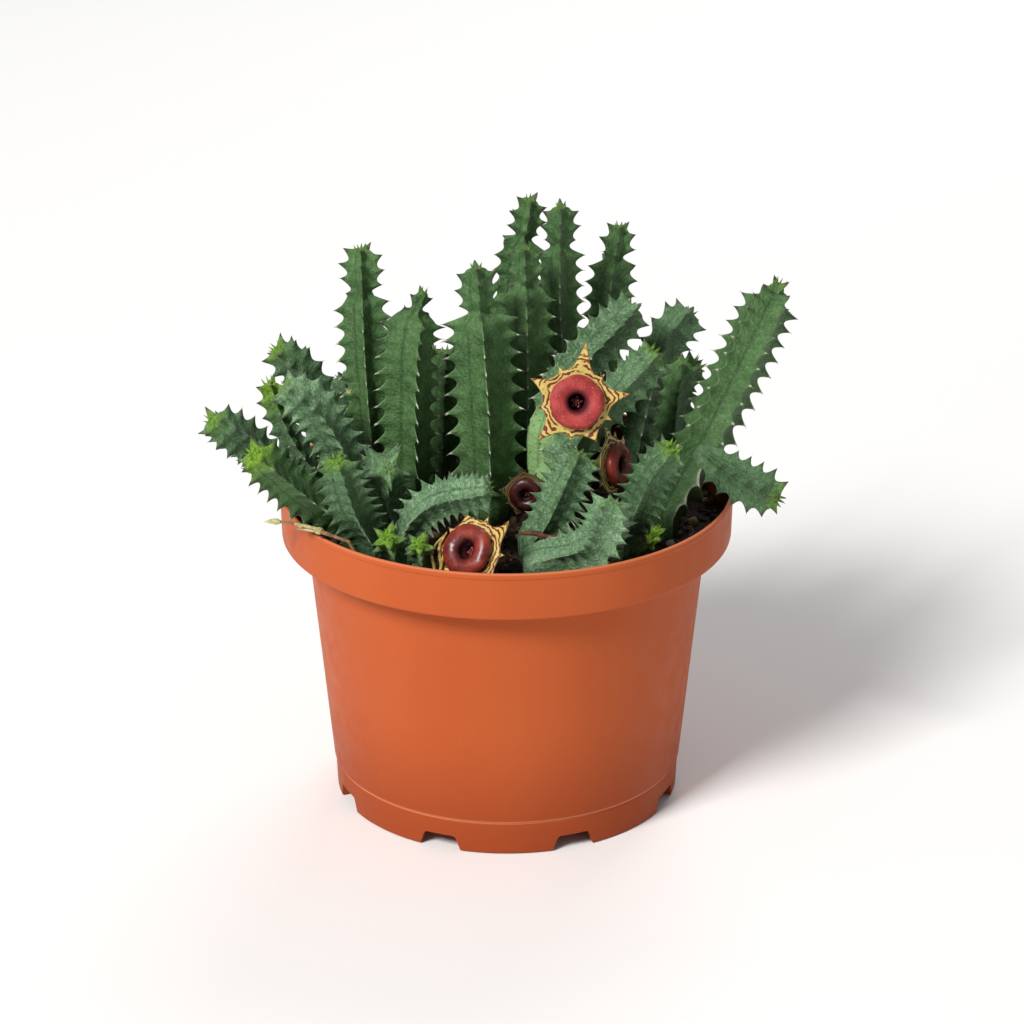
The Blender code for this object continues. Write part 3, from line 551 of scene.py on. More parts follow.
# Meshes
class Build:
    """Gathers points, faces and point values, and makes one object of them."""

    def __init__(self, names=()):
        self.points = []
        self.faces = []
        self.values = {name: [] for name in names}
        self.count = 0

    def add(self, points, faces, **values):
        """Points in millimetres, and faces that count from the first of them."""
        start = self.count
        points = np.asarray(points, float).reshape(-1, 3)
        self.points.append(points)
        self.count += len(points)
        self.faces += [tuple(start + i for i in face) for face in faces]
        for name, store in self.values.items():
            shape = (len(points), 3) if name == "flow" else (len(points),)
            store.append(np.broadcast_to(np.asarray(values.get(name, 0.0), float), shape))
        return start

    def object(self, name, material, slot, *nodes):
        """The finished piece, riding on the part's one body."""
        mesh = bpy.data.meshes.new(name)
        mesh.from_pydata((np.vstack(self.points) * MM).tolist(), [], self.faces)
        for key, store in self.values.items():
            kind, field = ("FLOAT_VECTOR", "vector") if key == "flow" else ("FLOAT", "value")
            attribute = mesh.attributes.new(key, kind, "POINT")
            attribute.data.foreach_set(field, np.concatenate(store).ravel().astype(np.float32))
        mesh.materials.append(material)
        mesh.shade_smooth()
        return dress(bpy.data.objects.new(name, mesh), slot, *nodes)


def dress(obj, slot, *nodes):
    """Put a piece on the part: its body and the nodes it stands for. The slot is not used."""
    if obj.name not in bpy.context.scene.collection.objects:
        bpy.context.scene.collection.objects.link(obj)
    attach(obj, "root")
    if nodes:
        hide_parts(*nodes)
    return obj


def grid_faces(rows, columns, flip=False):
    """Faces of a tube of rings, which closes round."""
    faces = []
    for i in range(rows - 1):
        for j in range(columns):
            k = (j + 1) % columns
            face = (i * columns + j, i * columns + k, (i + 1) * columns + k, (i + 1) * columns + j)
            faces.append(face[::-1] if flip else face)
    return faces


def closed_tube(rows, columns):
    """Faces of a tube of rings with both ends closed."""
    return grid_faces(rows, columns) + [tuple(reversed(range(columns))),
                                        tuple(range((rows - 1) * columns, rows * columns))]


def turns(count):
    """Angles spread evenly round a circle."""
    return 2 * math.pi * np.arange(count) / count


def circle(radius, angles, z):
    """Points of a ring round Z. Its radius and height may each differ from angle to angle."""
    z = np.broadcast_to(z, angles.shape)
    return np.column_stack([radius * np.cos(angles), radius * np.sin(angles), z])


def fan(start, count, pole, flip=False):
    """Triangles between a ring of points and one pole."""
    edges = [(start + j, start + (j + 1) % count) for j in range(count)]
    return [(*(edge[::-1] if flip else edge), pole) for edge in edges]


def hoop(centre, radius, side, other, angles):
    """Points of a ring round a centre, in the plane of two directions."""
    return centre + radius * (side * np.cos(angles)[:, None] + other * np.sin(angles)[:, None])


def unit(vectors):
    """Vectors of length one."""
    return vectors / np.maximum(np.linalg.norm(vectors, axis=-1, keepdims=True), 1e-9)


def bend(start, corner, end, t):
    """A point at t (0 to 1) on a curve from start to end that is drawn towards a corner."""
    return (1 - t) ** 2 * start + 2 * t * (1 - t) * corner + t * t * end


def smooth_step(value):
    """An eased step from 0 to 1, over values from 0 to 1."""
    value = np.clip(value, 0.0, 1.0)
    return value * value * (3 - 2 * value)


def spline_point(points, before_first, t):
    """A point at t (0 to 1) on a Catmull-Rom curve through the points, which arrives from before_first."""
    count = len(points) - 1
    index = min(int(t * count), count - 1)
    u = t * count - index
    before = points[index - 1] if index else before_first
    after = points[index + 2] if index + 2 <= count else points[-1] * 2 - points[-2]
    a, b = points[index], points[index + 1]
    return 0.5 * (2 * a + (b - before) * u + (2 * before - 5 * a + 4 * b - after) * u * u
                  + (3 * a - before - 3 * b + after) * u * u * u)


def curve(points, count):
    """Points along a smooth curve through the given ones."""
    points = [np.array(point, float) for point in points]
    return [spline_point(points, points[0], t) for t in np.linspace(0, 1, count)]


class Axis:
    """The axis of a stem: places points by distance along, angle round and radius."""

    def __init__(self, points, before_first):
        fine = np.array([spline_point(points, before_first, i / SPINE_SAMPLES)
                         for i in range(SPINE_SAMPLES + 1)])
        lengths = np.concatenate([[0.0], np.cumsum(np.linalg.norm(np.diff(fine, axis=0), axis=1))])
        self.total = lengths[-1]
        count = max(int(self.total / SPINE_STEP), 2)
        self.at = np.linspace(0.0, self.total, count + 1)
        self.spine = np.column_stack([np.interp(self.at, lengths, fine[:, k]) for k in range(3)])
        self.tangents = unit(np.gradient(self.spine, axis=0))
        self.sides = self.carried_sides(count)

    def carried_sides(self, count):
        """A sideways direction that turns with the curve and faces the viewer at its middle."""
        sides = np.zeros((count + 1, 3))
        middle = (count + 1) // 2
        sides[middle] = self.across(np.array(TO_VIEWER), middle)
        for i in range(middle + 1, count + 1):
            sides[i] = self.across(sides[i - 1], i)
        for i in range(middle - 1, -1, -1):
            sides[i] = self.across(sides[i + 1], i)
        return sides

    def across(self, vector, i):
        tangent = self.tangents[i]
        return unit(vector - tangent * vector.dot(tangent))

    def at_distance(self, rows, along):
        return np.stack([np.interp(along, self.at, rows[:, k]) for k in range(3)], axis=-1)

    def place(self, along, angle, radius):
        """Points of the given distances, angles and radii. Past the ends they go straight on."""
        along, angle, radius = np.broadcast_arrays(*(np.asarray(v, float) for v in (along, angle, radius)))
        centre = self.at_distance(self.spine, along)
        side = unit(self.at_distance(self.sides, along))
        tangent = unit(self.at_distance(self.tangents, along))
        over = along - np.clip(along, 0.0, self.total)
        other = np.cross(tangent, side)
        direction = side * np.cos(angle)[..., None] + other * np.sin(angle)[..., None]
        return centre + tangent * over[..., None] + direction * radius[..., None]


def reach_share(stem, along, total):
    """How far the teeth reach at distances along the stem, as a share of its full reach."""
    foot = FOOT_SHARE + (1 - FOOT_SHARE) * np.clip((along - FOOT_START) / FOOT_RUN, 0, 1) ** FOOT_POWER
    left = np.maximum(total - along, 0.0)
    dome = np.minimum(1.0, DOME_SHARE + (1 - DOME_SHARE) * np.sqrt(left / DOME_RUN))
    if not stem.head:
        return foot * dome
    neck = 1.0 - NECK_DEPTH * np.exp(-(((left - stem.head) / NECK_WIDTH) ** 2))
    shoulder = stem.head_share + (1 - stem.head_share) * smooth_step((left - stem.head) / SHOULDER_RUN)
    return foot * neck * np.where(left < stem.head, stem.head_share * dome, shoulder)


def tooth_length(reach):
    """How far a tooth stands out where the teeth reach this far."""
    share = np.interp(reach, SHOOT_REACHES, (SHOOT_TOOTH_SHARE, TOOTH_SHARE))
    return np.minimum(TOOTH_LENGTH, share * reach)


def tooth_levels(first, last, density):
    """Distances of the rows of teeth, close together at the tip and wider apart below."""
    gaps = []
    covered = 0.0
    while covered < last - first:
        gaps.append(density * (TIP_PITCH + (LOW_PITCH - TIP_PITCH) * min(1.0, covered / PITCH_RUN)))
        covered += gaps[-1]
    if covered - (last - first) > gaps[-1] / 2 and len(gaps) > 2:
        covered -= gaps.pop()
    stretch = (last - first) / covered
    levels = [last]
    for gap in gaps:
        levels.append(levels[-1] - gap * stretch)
    return np.array(levels[::-1])


def tooth_lean(axis, level, pitch):
    """How far the teeth at a level lean along the stem: old ones down, young ones towards the tip."""
    youth = np.exp(-(axis.total - level) / YOUNG_RUN)
    return (OLD_LEAN + (YOUNG_LEAN - OLD_LEAN) * youth) * pitch


def crest_angles(stem):
    """The angle of each rib's crest."""
    return math.radians(stem.turn) + turns(stem.ribs)


def lime_share(stem):
    """How strongly the growing tip is lime green."""
    return (0.3, 0.75, 1.0)[sum(stem.lime > least for least in LIMES)]


def loft_stem(build, stem, axis, rng, corky=False, buried=True):
    """The skin of one stem: ribs, furrows and pointed teeth as one closed tube."""
    spacing = DENSE_PITCH if stem.dense else 1.0
    levels = tooth_levels(min(FIRST_LEVEL, stem.bare), axis.total - APEX, spacing)
    cells = len(levels) - 1
    u = np.linspace(0.0, cells, cells * ROWS_PER_PITCH + 1)
    along = np.interp(u, np.arange(cells + 1), levels)
    dome = np.arange(1, DOME_ROWS + 1) / (DOME_ROWS + 1) * math.pi / 2
    u = np.concatenate([u, cells + np.sin(dome) * DOME_CELLS])
    along = np.concatenate([along, levels[-1] + (APEX - DOME_END) * np.sin(dome)])
    closing = np.concatenate([np.ones(len(u) - DOME_ROWS), np.cos(dome)])[:, None]

    widths = np.array([-1.0, *(-w for w in reversed(RIB_WIDTHS)), 0.0, *RIB_WIDTHS])
    rib = np.repeat(np.arange(stem.ribs), len(widths))
    width = np.tile(widths, stem.ribs)
    share = np.abs(width)
    half = math.pi / stem.ribs

    u, along = u[:, None], along[:, None]
    reach = stem.reach * reach_share(stem, along, axis.total)
    body = reach - tooth_length(reach)
    smooth = np.clip((stem.bare + BARE_FADE[0] - along) / BARE_FADE[1], 0, 1)
    valley = body * (VALLEY_SHARES[stem.ribs] - stem.deep)
    flat_x = body + (valley * math.cos(half) - body) * share
    flat_y = valley * math.sin(half) * share
    radius = np.hypot(flat_x, flat_y)
    angle = np.arctan2(flat_y, flat_x)
    bare_radius = reach * BARE_SHARE * (1 - (1 - BARE_VALLEY) * share)
    radius = radius + (bare_radius - radius) * smooth
    angle = angle + (share * half - angle) * smooth

    phase = np.where(rib % 2 == 0, 0.0, 0.5)
    near = np.round(u - phase) + phase
    offset = (u - near) * 2
    centre = np.interp(near, np.arange(cells + 1), levels)
    grown = np.clip((centre - stem.bare) / GROWN_RUN, 0.0, 1.0) * (centre > stem.bare + 1)
    tooth = np.clip(1 - np.abs(offset), 0, 1) ** TOOTH_POWER * grown * (near <= cells)
    across = share * np.hypot(body - valley * math.cos(half), valley * math.sin(half))
    blade = tooth * np.clip(1 - across / (TOOTH_HALF_WIDTH * spacing), 0, 1) ** BLADE_POWER
    jitter = rng.uniform(*TOOTH_JITTER, (2 * cells + 3, stem.ribs))
    size = jitter[np.clip(np.round(near * 2).astype(int), 0, 2 * cells + 2), np.broadcast_to(rib, near.shape)]
    stand = tooth_length(reach) * size * (DENSE_STAND if stem.dense else 1.0)
    pitch = np.interp(near, np.arange(cells) + 0.5, np.diff(levels))

    swelling = GREEN_SWELLING if stem.skin == "green" else SWELLING
    swell = swelling * np.cos(math.pi * offset) * np.sin(math.pi * share) * grown
    wobble = sum(amount * np.sin(along / run + rib * 1.7 + rng.uniform(0, 6)) for amount, run in WOBBLES)
    keel = KEEL * np.clip(1 - share * 4, 0, 1)
    radius = (radius + swell + wobble + keel + stand * blade) * closing
    shifted = along + tooth_lean(axis, along, pitch) * blade * closing
    points = axis.place(shifted, crest_angles(stem)[rib] + np.sign(width) * angle, np.maximum(radius, 0.05))

    rows, columns = radius.shape
    values = {
        "crest": 1 - share,
        "tooth": blade,
        "young": np.exp(-((axis.total - along) / stem.lime) ** 2) * lime_share(stem),
        "old": smooth_step((axis.total - along - OLD_FROM) / OLD_RUN),
        "pale": stem.pale * smooth_step((stem.bare + PALE_FADE[0] - along) / PALE_FADE[1]),
    }
    if corky:
        cork = smooth_step(1 - share * 5) * (rib == 0) * smooth_step((CORK_TOP - along) / CORK_RUN)
        values["dry"] = cork * (0.4 + 0.25 * np.sin(along / 1.7))
    values = {key: np.broadcast_to(value, radius.shape).ravel() for key, value in values.items()}
    flow = (width * 4 + rib * 9.0, along + share * 1.6, stem.reach * 7.3)
    flow = np.stack(np.broadcast_arrays(*flow), axis=-1)

    first = build.add(points, grid_faces(rows, columns), flow=flow.reshape(-1, 3), **values)
    pole = build.add(axis.place(axis.total - DOME_END + 0.1, 0.0, 0.0), [], crest=0.3, young=0.8)
    build.faces += fan(first + (rows - 1) * columns, columns, pole)
    if buried:
        low = points[0].copy()
        low[:, :2] = low[:, :2].mean(0) + (low[:, :2] - low[:, :2].mean(0)) * 0.9
        low[:, 2] = low[:, 2].min() - FIRST_LEVEL - BURIED
    else:
        low = points[0] - axis.tangents[0] * 1.0
    sunk = build.add(low, [], crest=0.3, pale=values["pale"][:columns], old=1.0, flow=flow[0])
    build.faces += [(sunk + j, sunk + (j + 1) % columns, first + (j + 1) % columns, first + j)
                    for j in range(columns)]
    build.faces.append(tuple(sunk + j for j in reversed(range(columns))))
    add_bristles(build, stem, axis, levels, rng)
    add_crown(build, stem, axis, rng)


def add_cone(build, base, tip, radius, sides, flat, **values):
    """A small closed cone from base to tip, flattened sideways."""
    direction = unit(tip - base)
    side = unit(np.cross(direction, (0.3, 0.2, 1.0)))
    ring = hoop(base, radius, side, np.cross(direction, side) * flat, turns(sides))
    build.add(np.vstack([ring, tip]), fan(0, sides, sides) + [tuple(reversed(range(sides)))], **values)


def add_bristles(build, stem, axis, levels, rng):
    """The dry point at the end of each older tooth."""
    cells = len(levels) - 1
    for rib, angle in enumerate(crest_angles(stem)):
        phase = 0.0 if rib % 2 == 0 else 0.5
        for step in range(cells + 1):
            level = float(np.interp(step + phase, np.arange(cells + 1), levels))
            if step + phase > cells or level < stem.bare + 7 or axis.total - level < 9:
                continue
            lean = tooth_lean(axis, level, levels[min(step + 1, cells)] - levels[min(step, cells - 1)])
            reach = float(stem.reach * reach_share(stem, np.array(level), axis.total))
            length = BRISTLE * min(stem.reach / 8, 1)
            base = axis.place(level + lean * 0.5 + 0.3, angle, reach - length)
            tip = axis.place(level + lean * 1.4 - 0.3, angle + rng.uniform(-0.03, 0.03), reach + length * 0.3)
            dry = float(np.clip((axis.total - level - 8) / 20, 0.1, 1.0)) * rng.uniform(0.6, 1.0)
            add_cone(build, base, tip, BRISTLE_RADIUS * (0.7 + 0.6 * dry), 5, 1.0,
                     crest=0.7, tooth=0.3, old=1.0, dry=dry)


def add_crown(build, stem, axis, rng):
    """The cluster of tiny teeth round the growing tip."""
    size = min(stem.reach * (stem.head_share if stem.head else 1.0) / 8.5, 1.0)
    for index in range(CROWN_TEETH):
        angle = 2 * math.pi * (index + rng.uniform(-0.2, 0.2)) / CROWN_TEETH
        spread = rng.uniform(0.35, 1.0)
        base = axis.place(axis.total - 2.8, angle, 1.5 * size * spread)
        rise = rng.uniform(-0.2, 0.5) + CROWN_RISE * (stem.lime > LIMES[0])
        tip = axis.place(axis.total + rise, angle, (1.2 + 1.9 * spread) * size)
        add_cone(build, base, tip, 1.1 * size, 6, 0.7, crest=0.8, tooth=rng.uniform(0.1, 0.5),
                 young=0.9 if stem.lime > LIMES[0] else 0.4)


def soil_top(x, y):
    """Height of the soil's gently domed top."""
    share = math.hypot(x, y) / (COLLAR_FOOT_RADIUS - WALL)
    return SOIL_CROWN + (SOIL_EDGE - SOIL_CROWN) * share * share


STEM_VALUES = ("crest", "tooth", "young", "old", "dry", "pale", "flow")


def build_stems(skins):
    """Every stem and shoot, and the branch of the leaning stem."""
    for number, (name, stem) in enumerate(STEMS.items()):
        rng = np.random.default_rng(SEED + number)
        foot = np.array([*stem.foot, soil_top(*stem.foot)])
        points = [foot, np.array(stem.bend, float), np.array(stem.tip, float)]
        axis = Axis(points, foot - (0, 0, ROOT_DEPTH))
        build = Build(STEM_VALUES)
        loft_stem(build, stem, axis, rng, corky=name == CORKY_STEM)
        slot = "young_stem" if name in YOUNG_STEMS else "stem"
        build.object(name + "_skin", skins[stem.skin], slot, name)
    points = [np.array(point, float) for point in BRANCH]
    axis = Axis(points, points[0] * 2 - points[1])
    build = Build(STEM_VALUES)
    loft_stem(build, BRANCH_STEM, axis, np.random.default_rng(SEED), buried=False)
    build.object(BRANCH_NAME + "_skin", skins[BRANCH_STEM.skin], "stem")


# Pot
def wall_radius(z):
    """Outer radius of the pot's tapering body at a height."""
    share = (z - BODY_FOOT) / (COLLAR_FOOT - BODY_FOOT)
    return BODY_FOOT_RADIUS + share * (BODY_TOP_RADIUS - BODY_FOOT_RADIUS)


def rounded(points, radius, steps=4):
    """The corner points of an outline, each with its own fillet where radius is above 0."""
    outline = []
    for i, (point, fillet) in enumerate(zip(points, radius)):
        here = np.array(point, float)
        if not fillet:
            outline.append(here)
            continue
        before = np.array(points[i - 1], float) - here
        after = np.array(points[(i + 1) % len(points)], float) - here
        start = here + unit(before) * min(fillet, np.linalg.norm(before) / 2)
        end = here + unit(after) * min(fillet, np.linalg.norm(after) / 2)
        for k in range(steps + 1):
            outline.append(bend(start, here, end, k / steps))
    return outline


def cutter(name, outline, low, high, matrix):
    """A straight prism between two heights along its own Z."""
    points = [matrix @ Vector((x, y, z)) * MM for z in (low, high) for x, y in outline]
    mesh = bpy.data.meshes.new(name)
    mesh.from_pydata(points, [], closed_tube(2, len(outline)))
    return bpy.data.objects.new(name, mesh)


def pot_cutters():
    """The notches in the foot ring and the drain holes."""
    low, top = NOTCH_WIDTH / 2, NOTCH_TOP_WIDTH / 2
    corners = [(-low * 1.3, -NOTCH_HEIGHT), (low * 1.3, -NOTCH_HEIGHT), (top, NOTCH_HEIGHT),
               (-top, NOTCH_HEIGHT)]
    notch = rounded(corners, (0, 0, NOTCH_FILLET, NOTCH_FILLET))
    made = []
    for index in range(NOTCHES):
        turn = Matrix.Rotation(2 * math.pi * (index + 0.5) / NOTCHES, 4, "Z")
        upright = Matrix.Translation((FOOT_RADIUS - 1, 0, 0)) @ Matrix.Rotation(math.pi / 2, 4, "Z")
        upright = upright @ Matrix.Rotation(math.pi / 2, 4, "X")
        made.append(cutter(f"notch_{index}", notch, -NOTCH_DEPTH / 2, NOTCH_DEPTH / 2, turn @ upright))
    drain = circle(DRAIN_RADIUS, turns(DRAIN_SIDES), 0.0)[:, :2]
    for index in range(DRAINS + 1):
        angle = 2 * math.pi * index / DRAINS
        ring = DRAIN_RING if index < DRAINS else 0.0
        place = Matrix.Translation((ring * math.cos(angle), ring * math.sin(angle), FLOOR_UNDERSIDE))
        made.append(cutter(f"drain_{index}", drain, -2.0, FLOOR_THICKNESS + 2.0, place))
    return made


def build_pot(material):
    """The pot as one turned wall with soft edges, notched foot and drained floor."""
    floor_top = FLOOR_UNDERSIDE + FLOOR_THICKNESS
    corners = [
        (0.0, floor_top, 0), (wall_radius(floor_top) - WALL, floor_top, 1.5),
        (wall_radius(COLLAR_FOOT) - WALL, COLLAR_FOOT + WALL * 0.4, 0.8),
        (COLLAR_FOOT_RADIUS - WALL, COLLAR_FOOT + WALL, 0.8),
        (RIM_RADIUS - WALL, POT_HEIGHT - 0.1, 0.5), (RIM_RADIUS, POT_HEIGHT, 0.75),
        (RIM_RADIUS - 0.05, POT_HEIGHT - 1.9, 0.3), (RIM_RADIUS - 0.4, POT_HEIGHT - 2.3, 0.3),
        (COLLAR_FOOT_RADIUS, COLLAR_FOOT, 1.0), (BODY_TOP_RADIUS, COLLAR_FOOT + 0.1, 0.7),
        (BODY_FOOT_RADIUS, BODY_FOOT + 0.5, 0.3), (BODY_FOOT_RADIUS - 0.75, BODY_FOOT + 0.1, 0.25),
        (BODY_FOOT_RADIUS - 0.45, BODY_FOOT - 0.5, 0.2),
        (FOOT_RADIUS, 0.0, 0.5), (FOOT_RADIUS - FOOT_WALL, 0.0, 0.4),
        (FOOT_RADIUS - FOOT_WALL + 0.2, FLOOR_UNDERSIDE, 0.6), (0.0, FLOOR_UNDERSIDE, 0),
    ]
    outline = rounded([c[:2] for c in corners], [c[2] for c in corners])
    rings = [circle(r, turns(POT_STEPS), z) for r, z in outline[1:-1]]
    build = Build()
    build.add(np.vstack(rings), grid_faces(len(rings), POT_STEPS))
    last = (len(rings) - 1) * POT_STEPS
    build.faces += fan(0, POT_STEPS, build.add([(0, 0, floor_top)], []), flip=True)
    build.faces += fan(last, POT_STEPS, build.add([(0, 0, FLOOR_UNDERSIDE)], []))
    pot = build.object("pot_shell", material, "pot", "pot")
    cutters = bpy.data.collections.new("pot_cutters")
    for obj in pot_cutters():
        cutters.objects.link(obj)
    boolean = pot.modifiers.new("Notches", "BOOLEAN")
    boolean.operation = "DIFFERENCE"
    boolean.operand_type = "COLLECTION"
    boolean.collection = cutters
    boolean.solver = "EXACT"
    bpy.context.view_layer.update()
    shown = pot.evaluated_get(bpy.context.evaluated_depsgraph_get())
    mesh = bpy.data.meshes.new_from_object(shown)
    pot.modifiers.clear()
    pot.data = mesh
    for obj in list(cutters.objects):
        bpy.data.objects.remove(obj)
    bpy.data.collections.remove(cutters)
    mesh.shade_smooth()
    mesh.set_sharp_from_angle(angle=math.radians(SHARP_ANGLE))


# Soil
def ripple(x, y):
    """A cheap uneven height, from a few sine waves in different directions."""
    rng = random.Random(SEED)
    total = 0.0
    for amount, run in RIPPLES:
        for _ in range(3):
            direction = rng.uniform(0, 2 * math.pi)
            shift = rng.uniform(0, 2 * math.pi)
            total += amount * np.sin((x * math.cos(direction) + y * math.sin(direction)) / run + shift)
    return total * RIPPLE_HEIGHT


def soil_spot(rng, margin):
    """A random place on the peat, at least the margin from its edge."""
    radius = (SOIL_RADIUS - margin) * math.sqrt(rng.uniform(0, 1))
    angle = rng.uniform(0, 2 * math.pi)
    return radius * math.cos(angle), radius * math.sin(angle)


def build_soil(material):
    """The bed of peat, uneven on top and filling the pot below."""
    floor = FLOOR_UNDERSIDE + FLOOR_THICKNESS + SOIL_GAP
    below = ((wall_radius(floor) - WALL - SOIL_GAP, floor),
             (wall_radius(COLLAR_FOOT) - WALL - SOIL_GAP, COLLAR_FOOT),
             (SOIL_RADIUS, COLLAR_FOOT + WALL + 0.4))
    angles = turns(SOIL_COLUMNS)
    rings = [circle(radius, angles, z) for radius, z in below]
    for i in range(SOIL_RINGS, 0, -1):
        share = i / SOIL_RINGS
        ring = circle(SOIL_RADIUS * share, angles, SOIL_CROWN + (SOIL_EDGE - SOIL_CROWN) * share * share)
        ring[:, 2] += ripple(ring[:, 0], ring[:, 1]) - SETTLED
        rings.append(ring)
    build = Build()
    build.add(np.vstack(rings), grid_faces(len(rings), SOIL_COLUMNS))
    build.faces += fan((len(rings) - 1) * SOIL_COLUMNS, SOIL_COLUMNS, build.add([(0, 0, SOIL_CROWN)], []))
    build.faces.append(tuple(reversed(range(SOIL_COLUMNS))))
    build.object("soil_bed", material, "soil", "soil")


def crumb_shape():
    """A unit icosahedron's points and faces."""
    golden = (1 + 5 ** 0.5) / 2
    points = np.array([(-1, golden, 0), (1, golden, 0), (-1, -golden, 0), (1, -golden, 0),
                       (0, -1, golden), (0, 1, golden), (0, -1, -golden), (0, 1, -golden),
                       (golden, 0, -1), (golden, 0, 1), (-golden, 0, -1), (-golden, 0, 1)], float)
    faces = [(0, 11, 5), (0, 5, 1), (0, 1, 7), (0, 7, 10), (0, 10, 11), (1, 5, 9), (5, 11, 4), (11, 10, 2),
             (10, 7, 6), (7, 1, 8), (3, 9, 4), (3, 4, 2), (3, 2, 6), (3, 6, 8), (3, 8, 9), (4, 9, 5),
             (2, 4, 11), (6, 2, 10), (8, 6, 7), (9, 8, 1)]
    return unit(points), faces


def build_crumbs(material):
    """Loose crumbs, bark bits and grit on the peat."""
    rng = np.random.default_rng(SEED)
    shape, faces = crumb_shape()
    build = Build(("shade",))
    for _ in range(CRUMBS):
        x, y = soil_spot(rng, CRUMB_MARGIN)
        size = rng.uniform(0.35, 1.0) ** 2 * 1.9 + 0.25
        lumps = 1 + rng.uniform(-0.3, 0.3, (12, 1))
        stretch = np.array([rng.uniform(0.7, 1.5), rng.uniform(0.6, 1.1), rng.uniform(0.45, 0.9)])
        turn = np.array(Matrix.Rotation(rng.uniform(0, 2 * math.pi), 3, "Z"))
        points = (shape * lumps * stretch * size) @ turn.T
        z = soil_top(x, y) + ripple(x, y) - SETTLED
        build.add(points + (x, y, z + size * 0.25), faces, shade=rng.uniform(0, 1))
    build.object("soil_crumbs", material, "soil")


def tube(build, points, radii, sides):
    """A closed tube along points, with a radius at each."""
    points = np.asarray(points, float)
    tangents = unit(np.gradient(points, axis=0))
    side = unit(np.cross(tangents[0], (0.31, 0.17, 0.93)))
    rings = []
    for point, tangent, radius in zip(points, tangents, radii):
        side = unit(side - tangent * side.dot(tangent))
        rings.append(hoop(point, radius, side, np.cross(tangent, side), turns(sides)))
    build.add(np.vstack(rings), closed_tube(len(rings), sides))


def build_fibres(material):
    """Short peat fibres and roots lying on the soil."""
    rng = np.random.default_rng(SEED + 1)
    build = Build()
    for _ in range(FIBRES):
        x, y = soil_spot(rng, FIBRE_MARGIN)
        heading = rng.uniform(0, 2 * math.pi)
        points = []
        for _ in range(FIBRE_POINTS):
            points.append((x, y, soil_top(x, y) + ripple(x, y) + rng.uniform(0.1, 0.7)))
            heading += rng.uniform(-0.7, 0.7)
            step = rng.uniform(0.5, 1.1)
            x, y = x + step * math.cos(heading), y + step * math.sin(heading)
        tube(build, points, np.linspace(*FIBRE_RADII, len(points)), 5)
    build.object("soil_fibres", material, "soil")


# Flowers
def flower_frame(flower):
    """A frame at the bloom's centre, in its own size, whose Z axis points the way it faces."""
    azimuth, elevation = math.radians(flower.azimuth), math.radians(flower.elevation)
    flat = math.cos(elevation)
    front = Vector((math.sin(azimuth) * flat, -math.cos(azimuth) * flat, math.sin(elevation)))
    facing = front.to_track_quat("Z", "Y").to_matrix().to_4x4()
    roll = Matrix.Rotation(math.radians(flower.roll), 4, "Z")
    return np.array(Matrix.Translation(flower.centre) @ facing @ roll @ Matrix.Scale(flower.size, 4))


def carry(matrix, points):
    """Points moved by a 4 by 4 matrix."""
    return np.asarray(points, float) @ matrix[:3, :3].T + matrix[:3, 3]


def star_outline(flower, angles):
    """Reach of the star at angles round it: five long lobes with small points between."""
    count = len(flower.lobes)
    place = angles / (2 * math.pi) * count
    lobe = np.round(place)
    off = np.abs(place - lobe) * 4
    long = np.array(flower.lobes)[lobe.astype(int) % count]
    on_lobe = (long - NOTCH_REACH) * np.clip(1 - off / LOBE_SPAN, 0, 1) ** LOBE_POWER
    rise = np.clip((off - LOBE_SPAN) / (2 - LOBE_SPAN), 0, 1) ** POINT_POWER
    on_point = (POINT_REACH - NOTCH_REACH) * rise
    return NOTCH_REACH + np.where(off < LOBE_SPAN, on_lobe, on_point)


def limb_height(flower, radius, angles):
    """How far the star's face stands forward, with a low fold along each lobe."""
    curl = flower.curl * np.clip((radius - NOTCH_REACH) / CURL_RUN, 0.0, 1.4) ** 2
    return curl + FOLD * np.cos(angles * len(flower.lobes)) * np.clip((radius - FOLD_START) / FOLD_RUN, 0, 1)


def build_corolla(name, flower, matrix, bearer, material):
    """The striped star with its tube and stalk, as one closed skin."""
    columns = COLUMNS_PER_LOBE * len(flower.lobes)
    angles = turns(columns)
    outline = star_outline(flower, angles)
    back = carry(matrix, [(0, 0, -TUBE_DEPTH)])[0]
    target = np.array(bearer.find_nearest(Vector(back) * MM)[0]) / MM
    direction = unit(back - target)
    side = unit(np.cross(np.cross(direction, matrix[:3, 0]), direction))
    build = Build(("radial", "tube", "margin"))

    for share in (0.0, 0.5, 1.0):
        centre = target - direction * STALK_SINK + (back - target) * share
        build.add(hoop(centre, STALK_RADIUS, side, np.cross(direction, side), angles), [], tube=1.0)

    def ring(radius, height, tube=0.0, margin=0.0):
        build.add(carry(matrix, circle(radius, angles, height)), [], radial=radius, tube=tube, margin=margin)

    for radius, height, share in TUBE_RINGS:
        ring(radius, height, share)
    steps = np.linspace(0, 1, LIMB_RINGS)
    for step in steps:
        radius = LIMB_FOOT + (outline - LIMB_FOOT) * step
        ring(radius, limb_height(flower, radius, angles) - PETAL_THICKNESS * (1.6 - 0.9 * step), 0.25)
    for step in steps[::-1]:
        radius = RING_SEAT_RADIUS + (outline + 0.03 - RING_SEAT_RADIUS) * step
        ring(radius, limb_height(flower, radius, angles), margin=step)
    for radius, height in THROAT_RINGS:
        ring(radius, height)
    build.faces = closed_tube(build.count // columns, columns)
    build.object(f"bloom_{name}_star", material, "corolla", f"flower_{name}_corolla")


